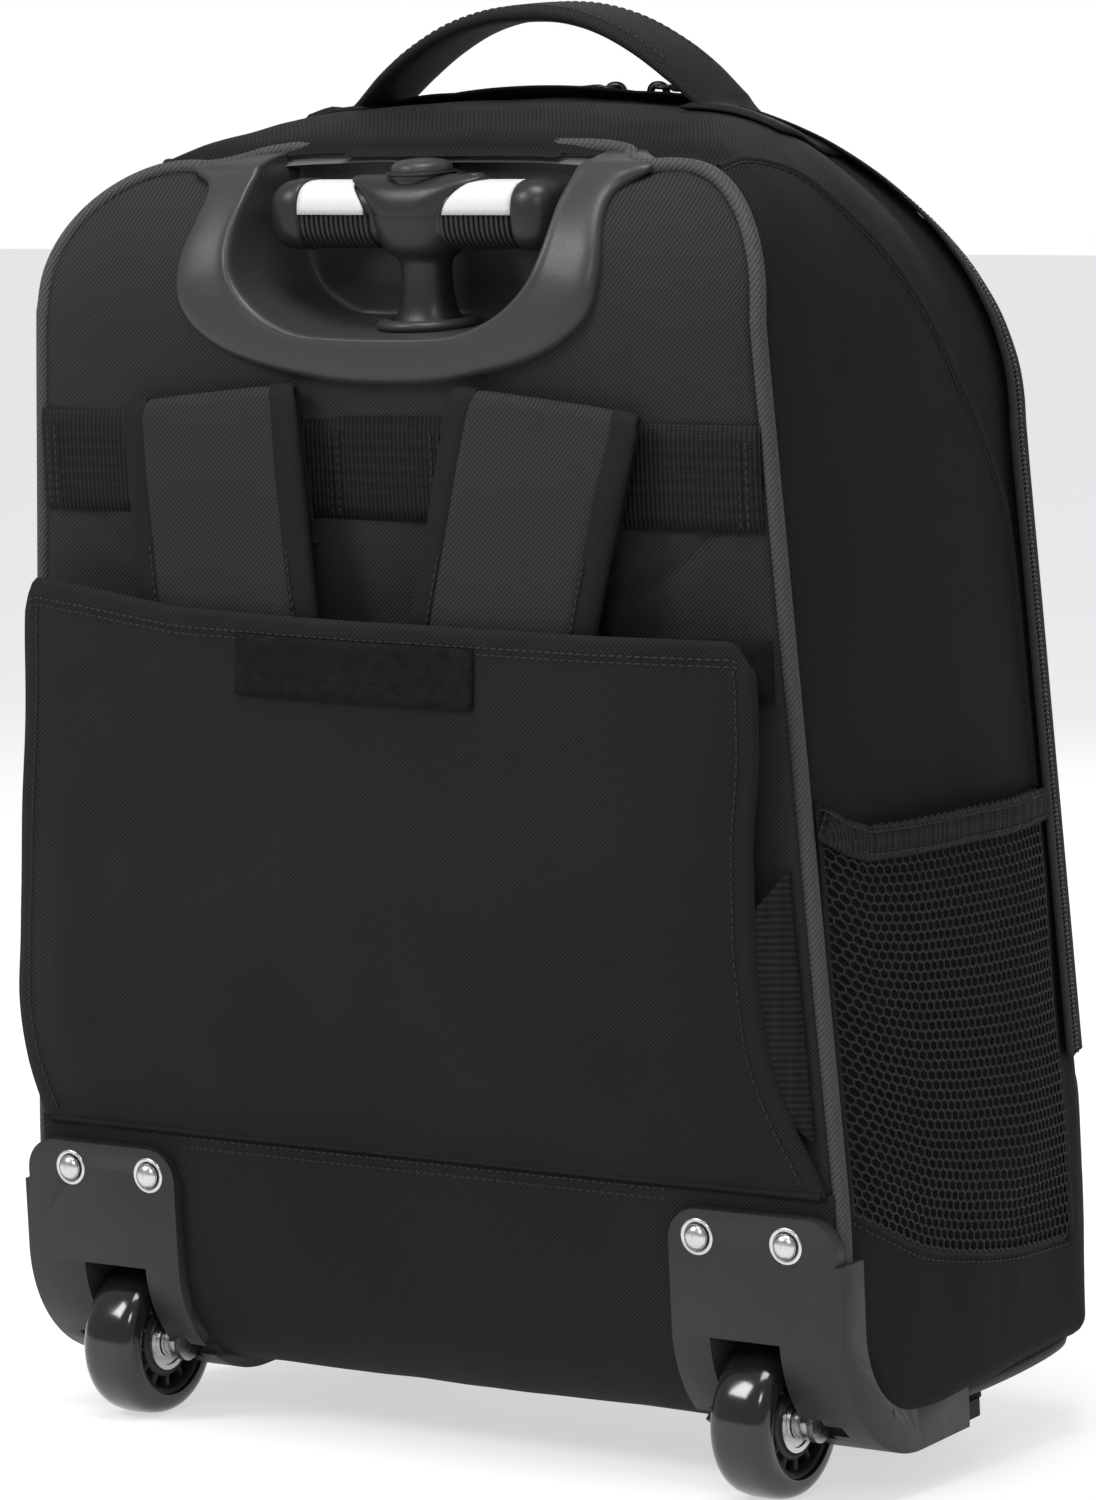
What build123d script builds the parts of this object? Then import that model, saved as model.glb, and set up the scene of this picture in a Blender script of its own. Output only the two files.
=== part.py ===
from build123d import *
import os
from math import cos, radians, sin

os.makedirs("parts", exist_ok=True)

# The bag stands with its back leaning over its wheels. Everything is drawn in the bag's own frame:
# x to the right, y from the wheel side (rear) to the pocket side (front), z up the back panel,
# with z = 0 level with the floor under the axle. +-X is symmetric.

# ---- stance and overall size ----
LEAN = 4.5
AXLE_Y = -69.4
AXLE_Z = 28.0
REAR_Y = -11.4
FRONT_Y = 172.0
BOTTOM_Z = 20.0
EDGE_TOP_Z = 467.0
CROWN = (96.0, 484.0)
BOTTOM_HALF = 176.0
TOP_HALF = 152.0
TAPER_Z = 105.0
REAR_CORNER = 50.0
FRONT_CORNER = 135.0
SKIN = 2.2
PAD = 5.4
REACH = 300.0
BEND_OUT = 44.0
BROW_OUT = 75.0
TOE_R = 22.0
FRONT_EDGE_R = 24.0

# ---- wheels ----
WHEEL_X = 139.0
WHEEL_R = 28.0
WHEEL_W = 24.0
RIM_R = 20.0
RIM_WALL = 2.5
RIM_HALF = 9.0
TREAD_STEP = 2.5
NAVE_HALF = 10.0
SPOKES = 10
SPOKE_W = 2.2
SPOKE_HALF = 7.0
BEARING_R = 11.0
BEARING_W = 7.0
BEARING_IN = 3.0
SHIELD_R = (6.4, 9.2)
SHIELD_DEPTH = 0.6
AXLE_R = 4.0
AXLE_FIT = 0.05
AXLE_HEAD = (6.5, 2.4)
SPACER_R = 6.0
WELL_HALF = 14.4
WELL_TOP = 60.0
WELL_DEPTH = 31.0

# ---- telescoping handle ----
POST_Y = 17.5
INNER_TUBE = (15.0, 11.0)
MIDDLE_TUBE = (20.0, 16.0)
OUTER_TUBE = (25.4, 21.4)
TUBE_WALL = 1.2
TUBE_CORNER = 3.0
SLIDE_GAP = 0.3
CUP_FLOOR = 409.0
CUP_TOP = 467.0
CUP_BACK_Y = 36.0
CUP_WALL = 2.5
GRIP_Y = 16.5
GRIP_Z = 450.5
GRIP_LENGTH = 123.0
GRIP_DEPTH = 26.0
GRIP_HEIGHT = 25.0
BUTTON_R = 11.5
BUTTON_TRAVEL = 4.0

# ---- soft parts ----
LINER_Y = 42.5
LINER_T = 2.0
SEAM_Z = 113.0
LID_Z = 131.0
ZIP_IN = 12.0
APRON_TOP = 313.0
APRON_OUT = 43.0
APRON_T = 2.4
WEB_Z = (344.0, 381.0)
WEB_LENGTH = 314.0
WEB_T = 1.8
HOOK = (107.0, 20.0, 1.5)
HOOK_AT = (104.0, 297.0)
LOOP = (107.0, 22.0, 1.2)
LOOP_Z = 296.0
STRAP_W = 77.0
STRAP_IN = 35.0
STRAP_FOOT = 98.0
STRAP_BEND = 305.0
STRAP_LOW = 140.0
HANDLE_Y = 100.0
HANDLE_W = 38.0
HANDLE_X = 78.0
HANDLE_AXIS_Z = 488.0
HANDLE_TOP = 522.0

UP = Vector(0, -sin(radians(LEAN)), cos(radians(LEAN)))
DEEP = Vector(0, cos(radians(LEAN)), sin(radians(LEAN)))
FOOT_OF_BAG = Vector(0, AXLE_Y, AXLE_Z) - UP * AXLE_Z


def back(y):
    """Plane across the bag at depth y, facing the wheel side: sketch x is x, sketch y is z."""
    return Plane(FOOT_OF_BAG + DEEP * y, x_dir=(1, 0, 0), z_dir=DEEP * -1)


def side(x):
    """Plane along the bag at x: sketch x is y, sketch y is z."""
    return Plane(FOOT_OF_BAG + Vector(x, 0, 0), x_dir=DEEP, z_dir=(1, 0, 0))


def level(z):
    """Plane square to the back panel at height z: sketch x is x, sketch y is y."""
    return Plane(FOOT_OF_BAG + UP * z, x_dir=(1, 0, 0), z_dir=UP)


def write(piece, label):
    """Label a finished piece and write its STEP file."""
    piece.part.label = label
    export_step(piece.part, f"parts/{label}.step")


def block(low, high):
    """A box between two corners of the bag's frame, for cutting."""
    with BuildPart() as box:
        with BuildSketch(level(low[2])):
            with Locations(((low[0] + high[0]) / 2, (low[1] + high[1]) / 2)):
                Rectangle(high[0] - low[0], high[1] - low[1])
        extrude(amount=high[2] - low[2])
    return box.part


# ---- shared outlines ----
BEND = (REAR_Y + BEND_OUT, BOTTOM_Z + BEND_OUT)
BEND_R = BEND_OUT - PAD
BROW = (REAR_Y + BROW_OUT, 408.0)
BROW_R = BROW_OUT - PAD
BROW_TURN = -52


def profile(inset):
    """Side view of the bag's body as a face, inset all round."""
    with BuildSketch(side(0)) as face:
        with BuildLine():
            bend = CenterArc(BEND, BEND_R, 270, -90)
            Line(bend @ 1, (REAR_Y + PAD, BROW[1]))
            over = CenterArc(BROW, BROW_R, 180, BROW_TURN)
            crown = ThreePointArc(over @ 1, (62, 479), CROWN)
            brow = ThreePointArc(crown @ 1, (150, 452), (FRONT_Y, 385))
            Line(brow @ 1, (FRONT_Y, BOTTOM_Z + PAD + TOE_R))
            toe = CenterArc((FRONT_Y - TOE_R, BOTTOM_Z + PAD + TOE_R), TOE_R, 0, -90)
            Line(toe @ 1, bend @ 0)
        make_face()
        if inset:
            offset(amount=-inset, kind=Kind.INTERSECTION, mode=Mode.REPLACE)
    return face.sketch


def half_width(z):
    """Half the bag's width at height z above the taper's start."""
    return BOTTOM_HALF - (z - TAPER_Z) * (BOTTOM_HALF - TOP_HALF) / (EDGE_TOP_Z - TAPER_Z)


def outline(inset, top=EDGE_TOP_Z, corner=48.0, y=0.0):
    """Back view of the bag as a face at depth y, inset all round."""
    with BuildSketch(back(y)) as face:
        with BuildLine():
            Polyline(
                (-BOTTOM_HALF, BOTTOM_Z),
                (BOTTOM_HALF, BOTTOM_Z),
                (BOTTOM_HALF, TAPER_Z),
                (half_width(top), top),
                (-half_width(top), top),
                (-BOTTOM_HALF, TAPER_Z),
                close=True,
            )
        make_face()
        fillet(face.vertices().group_by(Axis.Y)[-1], corner)
        if inset:
            offset(amount=-inset, kind=Kind.INTERSECTION, mode=Mode.REPLACE)
    return face.sketch


def plan(inset):
    """Top view of the bag's body as a face, with rounded front edges."""
    with BuildSketch(level(0)) as face:
        with Locations((0, (FRONT_Y + REAR_Y + PAD) / 2)):
            Rectangle(2 * BOTTOM_HALF, FRONT_Y - REAR_Y - PAD)
        fillet(face.vertices().group_by(Axis.Y)[-1], FRONT_EDGE_R)
        if inset:
            offset(amount=-inset, kind=Kind.INTERSECTION, mode=Mode.REPLACE)
    return face.sketch


def body(inset):
    """The bag's body as one solid: side view, back view and top view together."""
    with BuildPart() as solid:
        rear_view = outline(inset, CROWN[1], REAR_CORNER, REAR_Y - 20)
        front_view = outline(inset, CROWN[1], FRONT_CORNER, FRONT_Y + 20)
        loft([rear_view.face(), front_view.face()], ruled=True)
        extrude(profile(inset), amount=REACH, both=True, mode=Mode.INTERSECT)
        extrude(plan(inset), amount=2 * REACH, both=True, mode=Mode.INTERSECT)
    return solid.part


def rear_band(near, far, low):
    """A layer on the rear face, between near and far mm proud of the shell, from low to the top edge."""
    with BuildPart() as layer:
        with BuildSketch(side(0)):
            with BuildLine():
                inner = Line((REAR_Y + PAD - near, low), (REAR_Y + PAD - near, BROW[1]))
                inner_top = CenterArc(BROW, BROW_R + near, 180, BROW_TURN)
                outer = Line((REAR_Y + PAD - far, low), (REAR_Y + PAD - far, BROW[1]))
                outer_top = CenterArc(BROW, BROW_R + far, 180, BROW_TURN)
                Line(inner @ 0, outer @ 0)
                Line(inner_top @ 1, outer_top @ 1)
            make_face()
        extrude(amount=REACH, both=True)
    return layer.part


def foot_band(near, far, high, reach_y):
    """A layer round the rear bottom corner, from high on the rear to reach_y under the bag."""
    with BuildPart() as layer:
        with BuildSketch(side(0)):
            with BuildLine():
                inner = Line((REAR_Y + PAD - near, high), (REAR_Y + PAD - near, BEND[1]))
                inner_bend = CenterArc(BEND, BEND_R + near, 180, 90)
                inner_low = Line(inner_bend @ 1, (reach_y, BOTTOM_Z + PAD - near))
                outer = Line((REAR_Y + PAD - far, high), (REAR_Y + PAD - far, BEND[1]))
                outer_bend = CenterArc(BEND, BEND_R + far, 180, 90)
                outer_low = Line(outer_bend @ 1, (reach_y, BOTTOM_Z + PAD - far))
                Line(inner @ 0, outer @ 0)
                Line(inner_low @ 1, outer_low @ 1)
            make_face()
        extrude(amount=REACH, both=True)
    return layer.part


whole_body = body(0)
body_core = body(SKIN)
core_clear = body(SKIN + 0.25)
body_clear = body(-0.05)
body_grown = body(-SKIN)

# ---- wheels ----
with BuildPart() as tyre:
    with BuildSketch(Plane.XZ):
        with BuildLine():
            low = Polyline((-RIM_HALF, RIM_R), (RIM_HALF, RIM_R), (WHEEL_W / 2, RIM_R + TREAD_STEP))
            tread = ThreePointArc(low @ 1, (0, WHEEL_R), (-WHEEL_W / 2, RIM_R + TREAD_STEP))
            Line(tread @ 1, low @ 0)
        make_face()
    revolve(axis=Axis.X)

with BuildPart() as hub:
    with BuildSketch(Plane.YZ):
        Circle(RIM_R)
        Circle(RIM_R - RIM_WALL, mode=Mode.SUBTRACT)
    extrude(amount=RIM_HALF, both=True)
    with BuildSketch(Plane.YZ):
        Circle(BEARING_R + 2)
        Circle(BEARING_R, mode=Mode.SUBTRACT)
    extrude(amount=NAVE_HALF, both=True)
    with BuildSketch(Plane.YZ):
        with PolarLocations((RIM_R + BEARING_R) / 2, SPOKES):
            Rectangle(RIM_R - BEARING_R - SPOKE_W, SPOKE_W)
        Circle(BEARING_R + 1, mode=Mode.SUBTRACT)
    extrude(amount=SPOKE_HALF, both=True)
    with BuildSketch(Plane.YZ):
        Circle(BEARING_R)
        Circle(BEARING_R - 1.5, mode=Mode.SUBTRACT)
    extrude(amount=BEARING_IN - 0.1, both=True)

with BuildPart() as bearings:
    for start in (BEARING_IN, -BEARING_IN - BEARING_W):
        with BuildSketch(Plane.YZ.offset(start)):
            Circle(BEARING_R)
            Circle(AXLE_R + AXLE_FIT, mode=Mode.SUBTRACT)
        extrude(amount=BEARING_W)
        for face_at in (start, start + BEARING_W - SHIELD_DEPTH):
            with BuildSketch(Plane.YZ.offset(face_at)):
                Circle(SHIELD_R[1])
                Circle(SHIELD_R[0], mode=Mode.SUBTRACT)
            extrude(amount=SHIELD_DEPTH, mode=Mode.SUBTRACT)

with BuildPart() as axle:
    with BuildSketch(Plane.YZ.offset(-WELL_HALF - 3.0)):
        Circle(AXLE_R)
    extrude(amount=2 * WELL_HALF + 6.0)
    with BuildSketch(Plane.YZ.offset(WELL_HALF + 2.6)):
        Circle(AXLE_HEAD[0])
    extrude(amount=AXLE_HEAD[1])
    with BuildSketch(Plane.YZ.offset(-WELL_HALF - 5.0)):
        Circle(AXLE_HEAD[0])
    extrude(amount=AXLE_HEAD[1])
    for start in (10.6, -WELL_HALF + 0.3):
        with BuildSketch(Plane.YZ.offset(start)):
            Circle(SPACER_R)
        extrude(amount=WELL_HALF - 10.9)

for wheel_part, name in ((tyre, "tyre"), (hub, "hub"), (bearings, "bearings"), (axle, "axle")):
    for label, x in ((f"{name}_left", -WHEEL_X), (f"{name}_right", WHEEL_X)):
        with BuildPart() as placed:
            with Locations((x, AXLE_Y, AXLE_Z)):
                add(wheel_part.part)
        write(placed, label)

# ---- wheel housings: corner guards with a wheel well ----
PLATE_IN = 109.0
PLATE_OUT = 177.5
PLATE_TOP = 106.0
PLATE_T = 6.6
RIVET_AT = ((121.0, 96.0), (157.5, 96.0))
RIVET_R = 2.4
RIVET_HEAD = (4.5, 2.0)
RIVET_WASHER = (5.5, 1.0)
PLATE_CORNER = 12.0
FLANGE_T = 2.0
WELL_WALL = 2.4
GUARD_REACH = 66.0
FLANGE_LAP = 9.0
FLANGE_TOP = 90.0
WELL_GAP = 6.2
SKID = (34.0, 17.0)


def wheel_well(x, grow):
    """The space a wheel turns in, grown by grow, open at the rear and below."""
    return block(
        (x - WELL_HALF - grow, REAR_Y - 30, -10),
        (x + WELL_HALF + grow, WELL_DEPTH + grow, WELL_TOP + grow),
    )


with BuildPart() as rivet_shanks:
    with BuildSketch(back(REAR_Y - PLATE_T - 0.5)):
        with Locations(RIVET_AT):
            Circle(RIVET_R)
    extrude(amount=-(PLATE_T + PAD + SKIN + 2.0))
    mirror(about=Plane.YZ)

with BuildPart() as housing:
    with BuildSketch(back(-REACH)) as plate_face:
        with Locations(((PLATE_IN + PLATE_OUT) / 2, PLATE_TOP / 2 - 20)):
            Rectangle(PLATE_OUT - PLATE_IN, PLATE_TOP + 40)
        fillet(plate_face.vertices().group_by(Axis.Y)[-1], PLATE_CORNER)
    extrude(amount=-2 * REACH)
    add(foot_band(PAD, PAD + PLATE_T, PLATE_TOP, GUARD_REACH), mode=Mode.INTERSECT)
    add(
        foot_band(PAD - FLANGE_LAP, PAD + PLATE_T, FLANGE_TOP, GUARD_REACH)
        & block((BOTTOM_HALF + 0.3, -REACH, -REACH), (PLATE_OUT + FLANGE_T, REACH, REACH))
    )
    add(
        block(
            (WHEEL_X - WELL_HALF - WELL_WALL, REAR_Y - PLATE_T, BOTTOM_Z - PLATE_T),
            (WHEEL_X + WELL_HALF + WELL_WALL, WELL_DEPTH + WELL_WALL, WELL_TOP + WELL_WALL),
        )
        - foot_band(PAD + PLATE_T, 200, REACH, REACH)
    )
    add(wheel_well(WHEEL_X, 0), mode=Mode.SUBTRACT)
    with BuildSketch(side(WHEEL_X - 30)):
        with Locations((0, AXLE_Z)):
            Circle(AXLE_R + AXLE_FIT)
    extrude(amount=60, mode=Mode.SUBTRACT)
    for start in (WHEEL_X - WELL_HALF - 8.6, WHEEL_X + WELL_HALF + 2.6):
        with BuildSketch(side(start)):
            with Locations((0, AXLE_Z)):
                Circle(7.2)
        extrude(amount=6, mode=Mode.SUBTRACT)
    add(rivet_shanks.part, mode=Mode.SUBTRACT)

write(housing, "wheel_housing_right")
with BuildPart() as housing_left:
    mirror(housing.part, about=Plane.YZ)
write(housing_left, "wheel_housing_left")

with BuildPart() as housing_rivets:
    add(rivet_shanks.part)
    with BuildSketch(back(REAR_Y - PLATE_T - 0.05)):
        with Locations(*[(s * x, z) for s in (-1, 1) for x, z in RIVET_AT]):
            Circle(RIVET_HEAD[0])
    extrude(amount=RIVET_HEAD[1])
    chamfer(housing_rivets.faces().sort_by(Axis.Y)[:4].edges(), 1.0)
    with BuildSketch(back(REAR_Y + PAD + SKIN + 0.05)):
        with Locations(*[(s * x, z) for s in (-1, 1) for x, z in RIVET_AT]):
            Circle(RIVET_WASHER[0])
    extrude(amount=-RIVET_WASHER[1])
write(housing_rivets, "housing_rivets")

with BuildPart() as skids:
    with BuildSketch(level(BOTTOM_Z - 0.05)):
        with Locations((158, GUARD_REACH + 9.5), (-158, GUARD_REACH + 9.5)):
            RectangleRounded(*SKID, 4)
    extrude(amount=-PLATE_T)
write(skids, "skids")

# ---- base and frame ----
BOARD_Z = BOTTOM_Z + PAD + SKIN + 0.1
FOOT_X = 105.0
FOOT_DEEP = 128.0
SCREW_HOLE = 1.8
SCREW_SHANK = 1.75
SCREW_HEAD = (4.0, 2.0)
BOARD_HOLE = 2.2
BASE_BOARD = (324.0, 102.0, 3.0)
BACK_BOARD = (200.0, 330.0, 2.0)
FOOT = (42.0, 30.0)
FOOT_PAD = (32.0, 20.0, 4.0)
SCREW_X = (-FOOT_X - 12, -FOOT_X + 12, FOOT_X - 12, FOOT_X + 12)
with BuildPart() as kick_panel:
    add(foot_band(0, PAD, SEAM_Z - 0.5, FRONT_Y - 24))
    extrude(outline(0.5), amount=REACH, both=True, mode=Mode.INTERSECT)
    for x in (-WHEEL_X, WHEEL_X):
        add(wheel_well(x, WELL_GAP), mode=Mode.SUBTRACT)
    add(rivet_shanks.part, mode=Mode.SUBTRACT)
    with BuildSketch(level(0)):
        with Locations(*[(x, FOOT_DEEP) for x in SCREW_X]):
            Circle(SCREW_HOLE)
    extrude(amount=60, mode=Mode.SUBTRACT)
write(kick_panel, "kick_panel")

with BuildPart() as base_board:
    with BuildSketch(level(BOARD_Z)):
        with Locations((0, 98)):
            RectangleRounded(BASE_BOARD[0], BASE_BOARD[1], 12)
    extrude(amount=BASE_BOARD[2])
    with BuildSketch(level(BOARD_Z)):
        with Locations(*[(x, FOOT_DEEP) for x in SCREW_X]):
            Circle(BOARD_HOLE)
    extrude(amount=BASE_BOARD[2], mode=Mode.SUBTRACT)
write(base_board, "base_board")

with BuildPart() as back_board:
    with BuildSketch(back(REAR_Y + PAD + SKIN + 0.3)):
        with Locations((0, 233)):
            RectangleRounded(BACK_BOARD[0], BACK_BOARD[1], 14)
        with Locations((0, 150), (0, 300)):
            SlotOverall(120, 14, mode=Mode.SUBTRACT)
    extrude(amount=-BACK_BOARD[2])
write(back_board, "back_board")

FOOT_ROW_Y = (FOOT_OF_BAG + DEEP * FOOT_DEEP + UP * -10).Y
for label, x in (("front_foot_left", -FOOT_X), ("front_foot_right", FOOT_X)):
    with BuildPart() as foot:
        with BuildSketch(level(BOTTOM_Z - 0.05)):
            with Locations((x, FOOT_DEEP)):
                RectangleRounded(*FOOT, 7)
        extrude(amount=-40, taper=5)
        split(bisect_by=Plane.XY.offset(FOOT_PAD[2]), keep=Keep.TOP)
        with BuildSketch(level(BOTTOM_Z - 0.05)):
            with Locations((x - 12, FOOT_DEEP), (x + 12, FOOT_DEEP)):
                Circle(SCREW_HOLE)
        extrude(amount=-16, mode=Mode.SUBTRACT)
    write(foot, label)

with BuildPart() as foot_pads:
    with BuildSketch(Plane.XY):
        with Locations((-FOOT_X, FOOT_ROW_Y), (FOOT_X, FOOT_ROW_Y)):
            RectangleRounded(FOOT_PAD[0], FOOT_PAD[1], 5)
    extrude(amount=FOOT_PAD[2])
write(foot_pads, "foot_pads")

# ---- telescoping handle ----
OUTER_LOW = 40.0
MIDDLE_LOW = 62.0
INNER_LOW = 86.0
TUBE_TOP = CUP_FLOOR - 4.0
BORE = 2 * TUBE_WALL
LOCK_R = 2.4
UPPER_LOCK_Z = INNER_LOW - 7.0
LOWER_LOCK_Z = MIDDLE_LOW - 7.0
INNER_TRAVEL = 275.0
MIDDLE_TRAVEL = 290.0
SHOE_UP = 22.0
SHOE_DOWN = 12.0
TUBE_FOOT = (58.0, 32.0, 26.0)
TUBE_FOOT_Z = 34.0


def tube(size, low, high):
    """A rounded rectangular tube round the post's axis."""
    with BuildPart() as post:
        with BuildSketch(level(low)):
            with Locations((0, POST_Y)):
                RectangleRounded(size[0], size[1], TUBE_CORNER)
                RectangleRounded(
                    size[0] - BORE, size[1] - BORE, TUBE_CORNER - TUBE_WALL, mode=Mode.SUBTRACT
                )
        extrude(amount=high - low)
    return post.part


def plug(size, low, high, corner=TUBE_CORNER):
    """A rounded rectangular bar on the post's axis."""
    with BuildPart() as bar:
        with BuildSketch(level(low)):
            with Locations((0, POST_Y)):
                RectangleRounded(size[0], size[1], corner)
        extrude(amount=high - low)
    return bar.part


def grown(size, by):
    """A section grown by a distance all round."""
    return (size[0] + 2 * by, size[1] + 2 * by)


def cross_hole(z, radius, length):
    """A cylinder along x through the post's axis, for a lock pin."""
    with BuildPart() as hole:
        with BuildSketch(side(-length)):
            with Locations((POST_Y, z)):
                Circle(radius)
        extrude(amount=2 * length)
    return hole.part


with BuildPart() as outer_tube:
    add(tube(OUTER_TUBE, OUTER_LOW, TUBE_TOP))
    add(cross_hole(LOWER_LOCK_Z + MIDDLE_TRAVEL, LOCK_R + 0.3, 20), mode=Mode.SUBTRACT)
write(outer_tube, "outer_tube")

with BuildPart() as middle_tube:
    add(tube(MIDDLE_TUBE, MIDDLE_LOW, TUBE_TOP))
    add(cross_hole(UPPER_LOCK_Z + INNER_TRAVEL, LOCK_R + 0.3, 20), mode=Mode.SUBTRACT)
write(middle_tube, "middle_tube")

with BuildPart() as inner_tube:
    add(tube(INNER_TUBE, INNER_LOW, GRIP_Z - 6))
write(inner_tube, "inner_tube")

with BuildPart() as outer_collar:
    add(plug(grown(OUTER_TUBE, -TUBE_WALL), TUBE_TOP - 14, TUBE_TOP, TUBE_CORNER - TUBE_WALL))
    add(plug(grown(OUTER_TUBE, 1.2), TUBE_TOP, CUP_FLOOR + 0.6))
    add(
        plug(grown(MIDDLE_TUBE, SLIDE_GAP), TUBE_TOP - 20, CUP_FLOOR + 5), mode=Mode.SUBTRACT
    )
write(outer_collar, "outer_collar")

with BuildPart() as middle_collar:
    add(plug(grown(MIDDLE_TUBE, -TUBE_WALL), TUBE_TOP - 12, TUBE_TOP, TUBE_CORNER - TUBE_WALL))
    add(plug(MIDDLE_TUBE, TUBE_TOP, CUP_FLOOR + 0.6))
    add(plug(grown(INNER_TUBE, SLIDE_GAP), TUBE_TOP - 20, CUP_FLOOR + 5), mode=Mode.SUBTRACT)
write(middle_collar, "middle_collar")

for label, carried, around, low, lock_z in (
    ("middle_shoe", MIDDLE_TUBE, OUTER_TUBE, MIDDLE_LOW, LOWER_LOCK_Z),
    ("inner_shoe", INNER_TUBE, MIDDLE_TUBE, INNER_LOW, UPPER_LOCK_Z),
):
    with BuildPart() as shoe:
        add(plug(grown(around, -TUBE_WALL - SLIDE_GAP), low - SHOE_DOWN, low + SHOE_UP, 1.6))
        add(plug(carried, low, low + 30), mode=Mode.SUBTRACT)
        add(cross_hole(lock_z, LOCK_R + 0.05, 20), mode=Mode.SUBTRACT)
    write(shoe, label)

for label, around, lock_z, start in (
    ("lower_lock_pin", OUTER_TUBE, LOWER_LOCK_Z, -5.0),
    ("upper_lock_pin", MIDDLE_TUBE, UPPER_LOCK_Z, -4.0),
):
    with BuildPart() as pin:
        nose = around[0] / 2 - TUBE_WALL - SLIDE_GAP
        with BuildSketch(side(start)):
            with Locations((POST_Y, lock_z)):
                Circle(LOCK_R)
        extrude(amount=nose - start)
        chamfer(pin.faces().sort_by(Axis.X)[-1].edges(), 0.8)
    write(pin, label)

with BuildPart() as tube_foot:
    with BuildSketch(level(TUBE_FOOT_Z)):
        with Locations((0, POST_Y)):
            RectangleRounded(TUBE_FOOT[0], TUBE_FOOT[1], 6)
    extrude(amount=TUBE_FOOT[2])
    add(plug(OUTER_TUBE, OUTER_LOW, 80), mode=Mode.SUBTRACT)
    with BuildSketch(level(TUBE_FOOT_Z + TUBE_FOOT[2])):
        with Locations((-21, POST_Y), (21, POST_Y)):
            Circle(BOARD_HOLE)
    extrude(amount=-30, mode=Mode.SUBTRACT)
    add(core_clear, mode=Mode.INTERSECT)
write(tube_foot, "tube_foot")

# ---- handle cup ----
CUP_HALF = 67.0
CUP_BACK_OUT = CUP_BACK_Y + CUP_WALL
BEZEL_T = 6.5
CUP_CORNER = 22.0
CUP_FLAT = 38.0
CUP_RISE = 26.0
SCREW_AT = ((-50.0, 444.0), (50.0, 444.0))


def cup_opening(grow):
    """Back view of the cup's recess as a face, grown all round and open at the top."""
    half = CUP_HALF + grow
    with BuildSketch(back(0)) as face:
        with BuildLine():
            Polyline(
                (-CUP_FLAT - grow / 2, CUP_FLOOR - grow),
                (CUP_FLAT + grow / 2, CUP_FLOOR - grow),
                (half, CUP_FLOOR + CUP_RISE),
                (half, 520),
                (-half, 520),
                (-half, CUP_FLOOR + CUP_RISE),
                close=True,
            )
        make_face()
        fillet(face.vertices().group_by(Axis.Y)[0], CUP_CORNER)
    return face.sketch


with BuildPart() as handle_cup:
    with BuildSketch(back(-REACH)):
        with BuildLine():
            ThreePointArc((-58, 401), (0, 393), (58, 401))
            Spline((58, 401), (80, 411), (88, 430), tangents=((1, 0.3), (0, 1)))
            Line((88, 430), (82, 455))
            Line((82, 455), (79, CUP_TOP))
            Line((79, CUP_TOP), (-79, CUP_TOP))
            Line((-79, CUP_TOP), (-82, 455))
            Line((-82, 455), (-88, 430))
            Spline((-88, 430), (-80, 411), (-58, 401), tangents=((0, -1), (1, -0.3)))
        make_face()
    extrude(amount=-2 * REACH)
    add(rear_band(PAD + 0.05, PAD + BEZEL_T, 300), mode=Mode.INTERSECT)
    extrude(cup_opening(CUP_WALL), amount=-CUP_BACK_OUT)
    extrude(cup_opening(CUP_WALL), amount=-REAR_Y)
    add(rear_band(PAD + BEZEL_T, 200, 200), mode=Mode.SUBTRACT)
    add(
        block((-REACH, -REACH, CUP_TOP), (REACH, REACH, REACH * 3)), mode=Mode.SUBTRACT
    )
    extrude(cup_opening(0), amount=-CUP_BACK_Y, mode=Mode.SUBTRACT)
    extrude(cup_opening(0), amount=80, mode=Mode.SUBTRACT)
    add(plug(grown(OUTER_TUBE, 1.25), 380, CUP_FLOOR + 10), mode=Mode.SUBTRACT)
    with BuildSketch(back(0)):
        with Locations(*SCREW_AT):
            Circle(SCREW_HOLE + 0.05)
    extrude(amount=-CUP_BACK_OUT - 1, mode=Mode.SUBTRACT)
write(handle_cup, "handle_cup")

with BuildPart() as fixing_screws:
    with BuildSketch(back(CUP_BACK_Y)):
        with Locations(*SCREW_AT):
            Circle(SCREW_HEAD[0])
    extrude(amount=SCREW_HEAD[1])
    with BuildSketch(back(CUP_BACK_Y)):
        with Locations(*SCREW_AT):
            Circle(SCREW_HOLE)
    extrude(amount=-5)
    with BuildSketch(level(BOARD_Z + BASE_BOARD[2] + 0.05)):
        with Locations(*[(x, FOOT_DEEP) for x in SCREW_X]):
            Circle(SCREW_HEAD[0])
    extrude(amount=SCREW_HEAD[1])
    with BuildSketch(level(BOARD_Z + BASE_BOARD[2] + 0.05)):
        with Locations(*[(x, FOOT_DEEP) for x in SCREW_X]):
            Circle(SCREW_SHANK)
    extrude(amount=-20)
write(fixing_screws, "fixing_screws")

# ---- grip ----
INLAY_X = 32.5
INLAY_LENGTH = 27.0
INLAY_T = 1.2
RECESS = 6.0
with BuildPart() as grip_form:
    with BuildSketch(side(-GRIP_LENGTH / 2)):
        with Locations((GRIP_Y, GRIP_Z)):
            RectangleRounded(GRIP_DEPTH, GRIP_HEIGHT, 10)
    extrude(amount=GRIP_LENGTH)
    fillet(grip_form.edges().group_by(Axis.X)[0] + grip_form.edges().group_by(Axis.X)[-1], 7)

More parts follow.
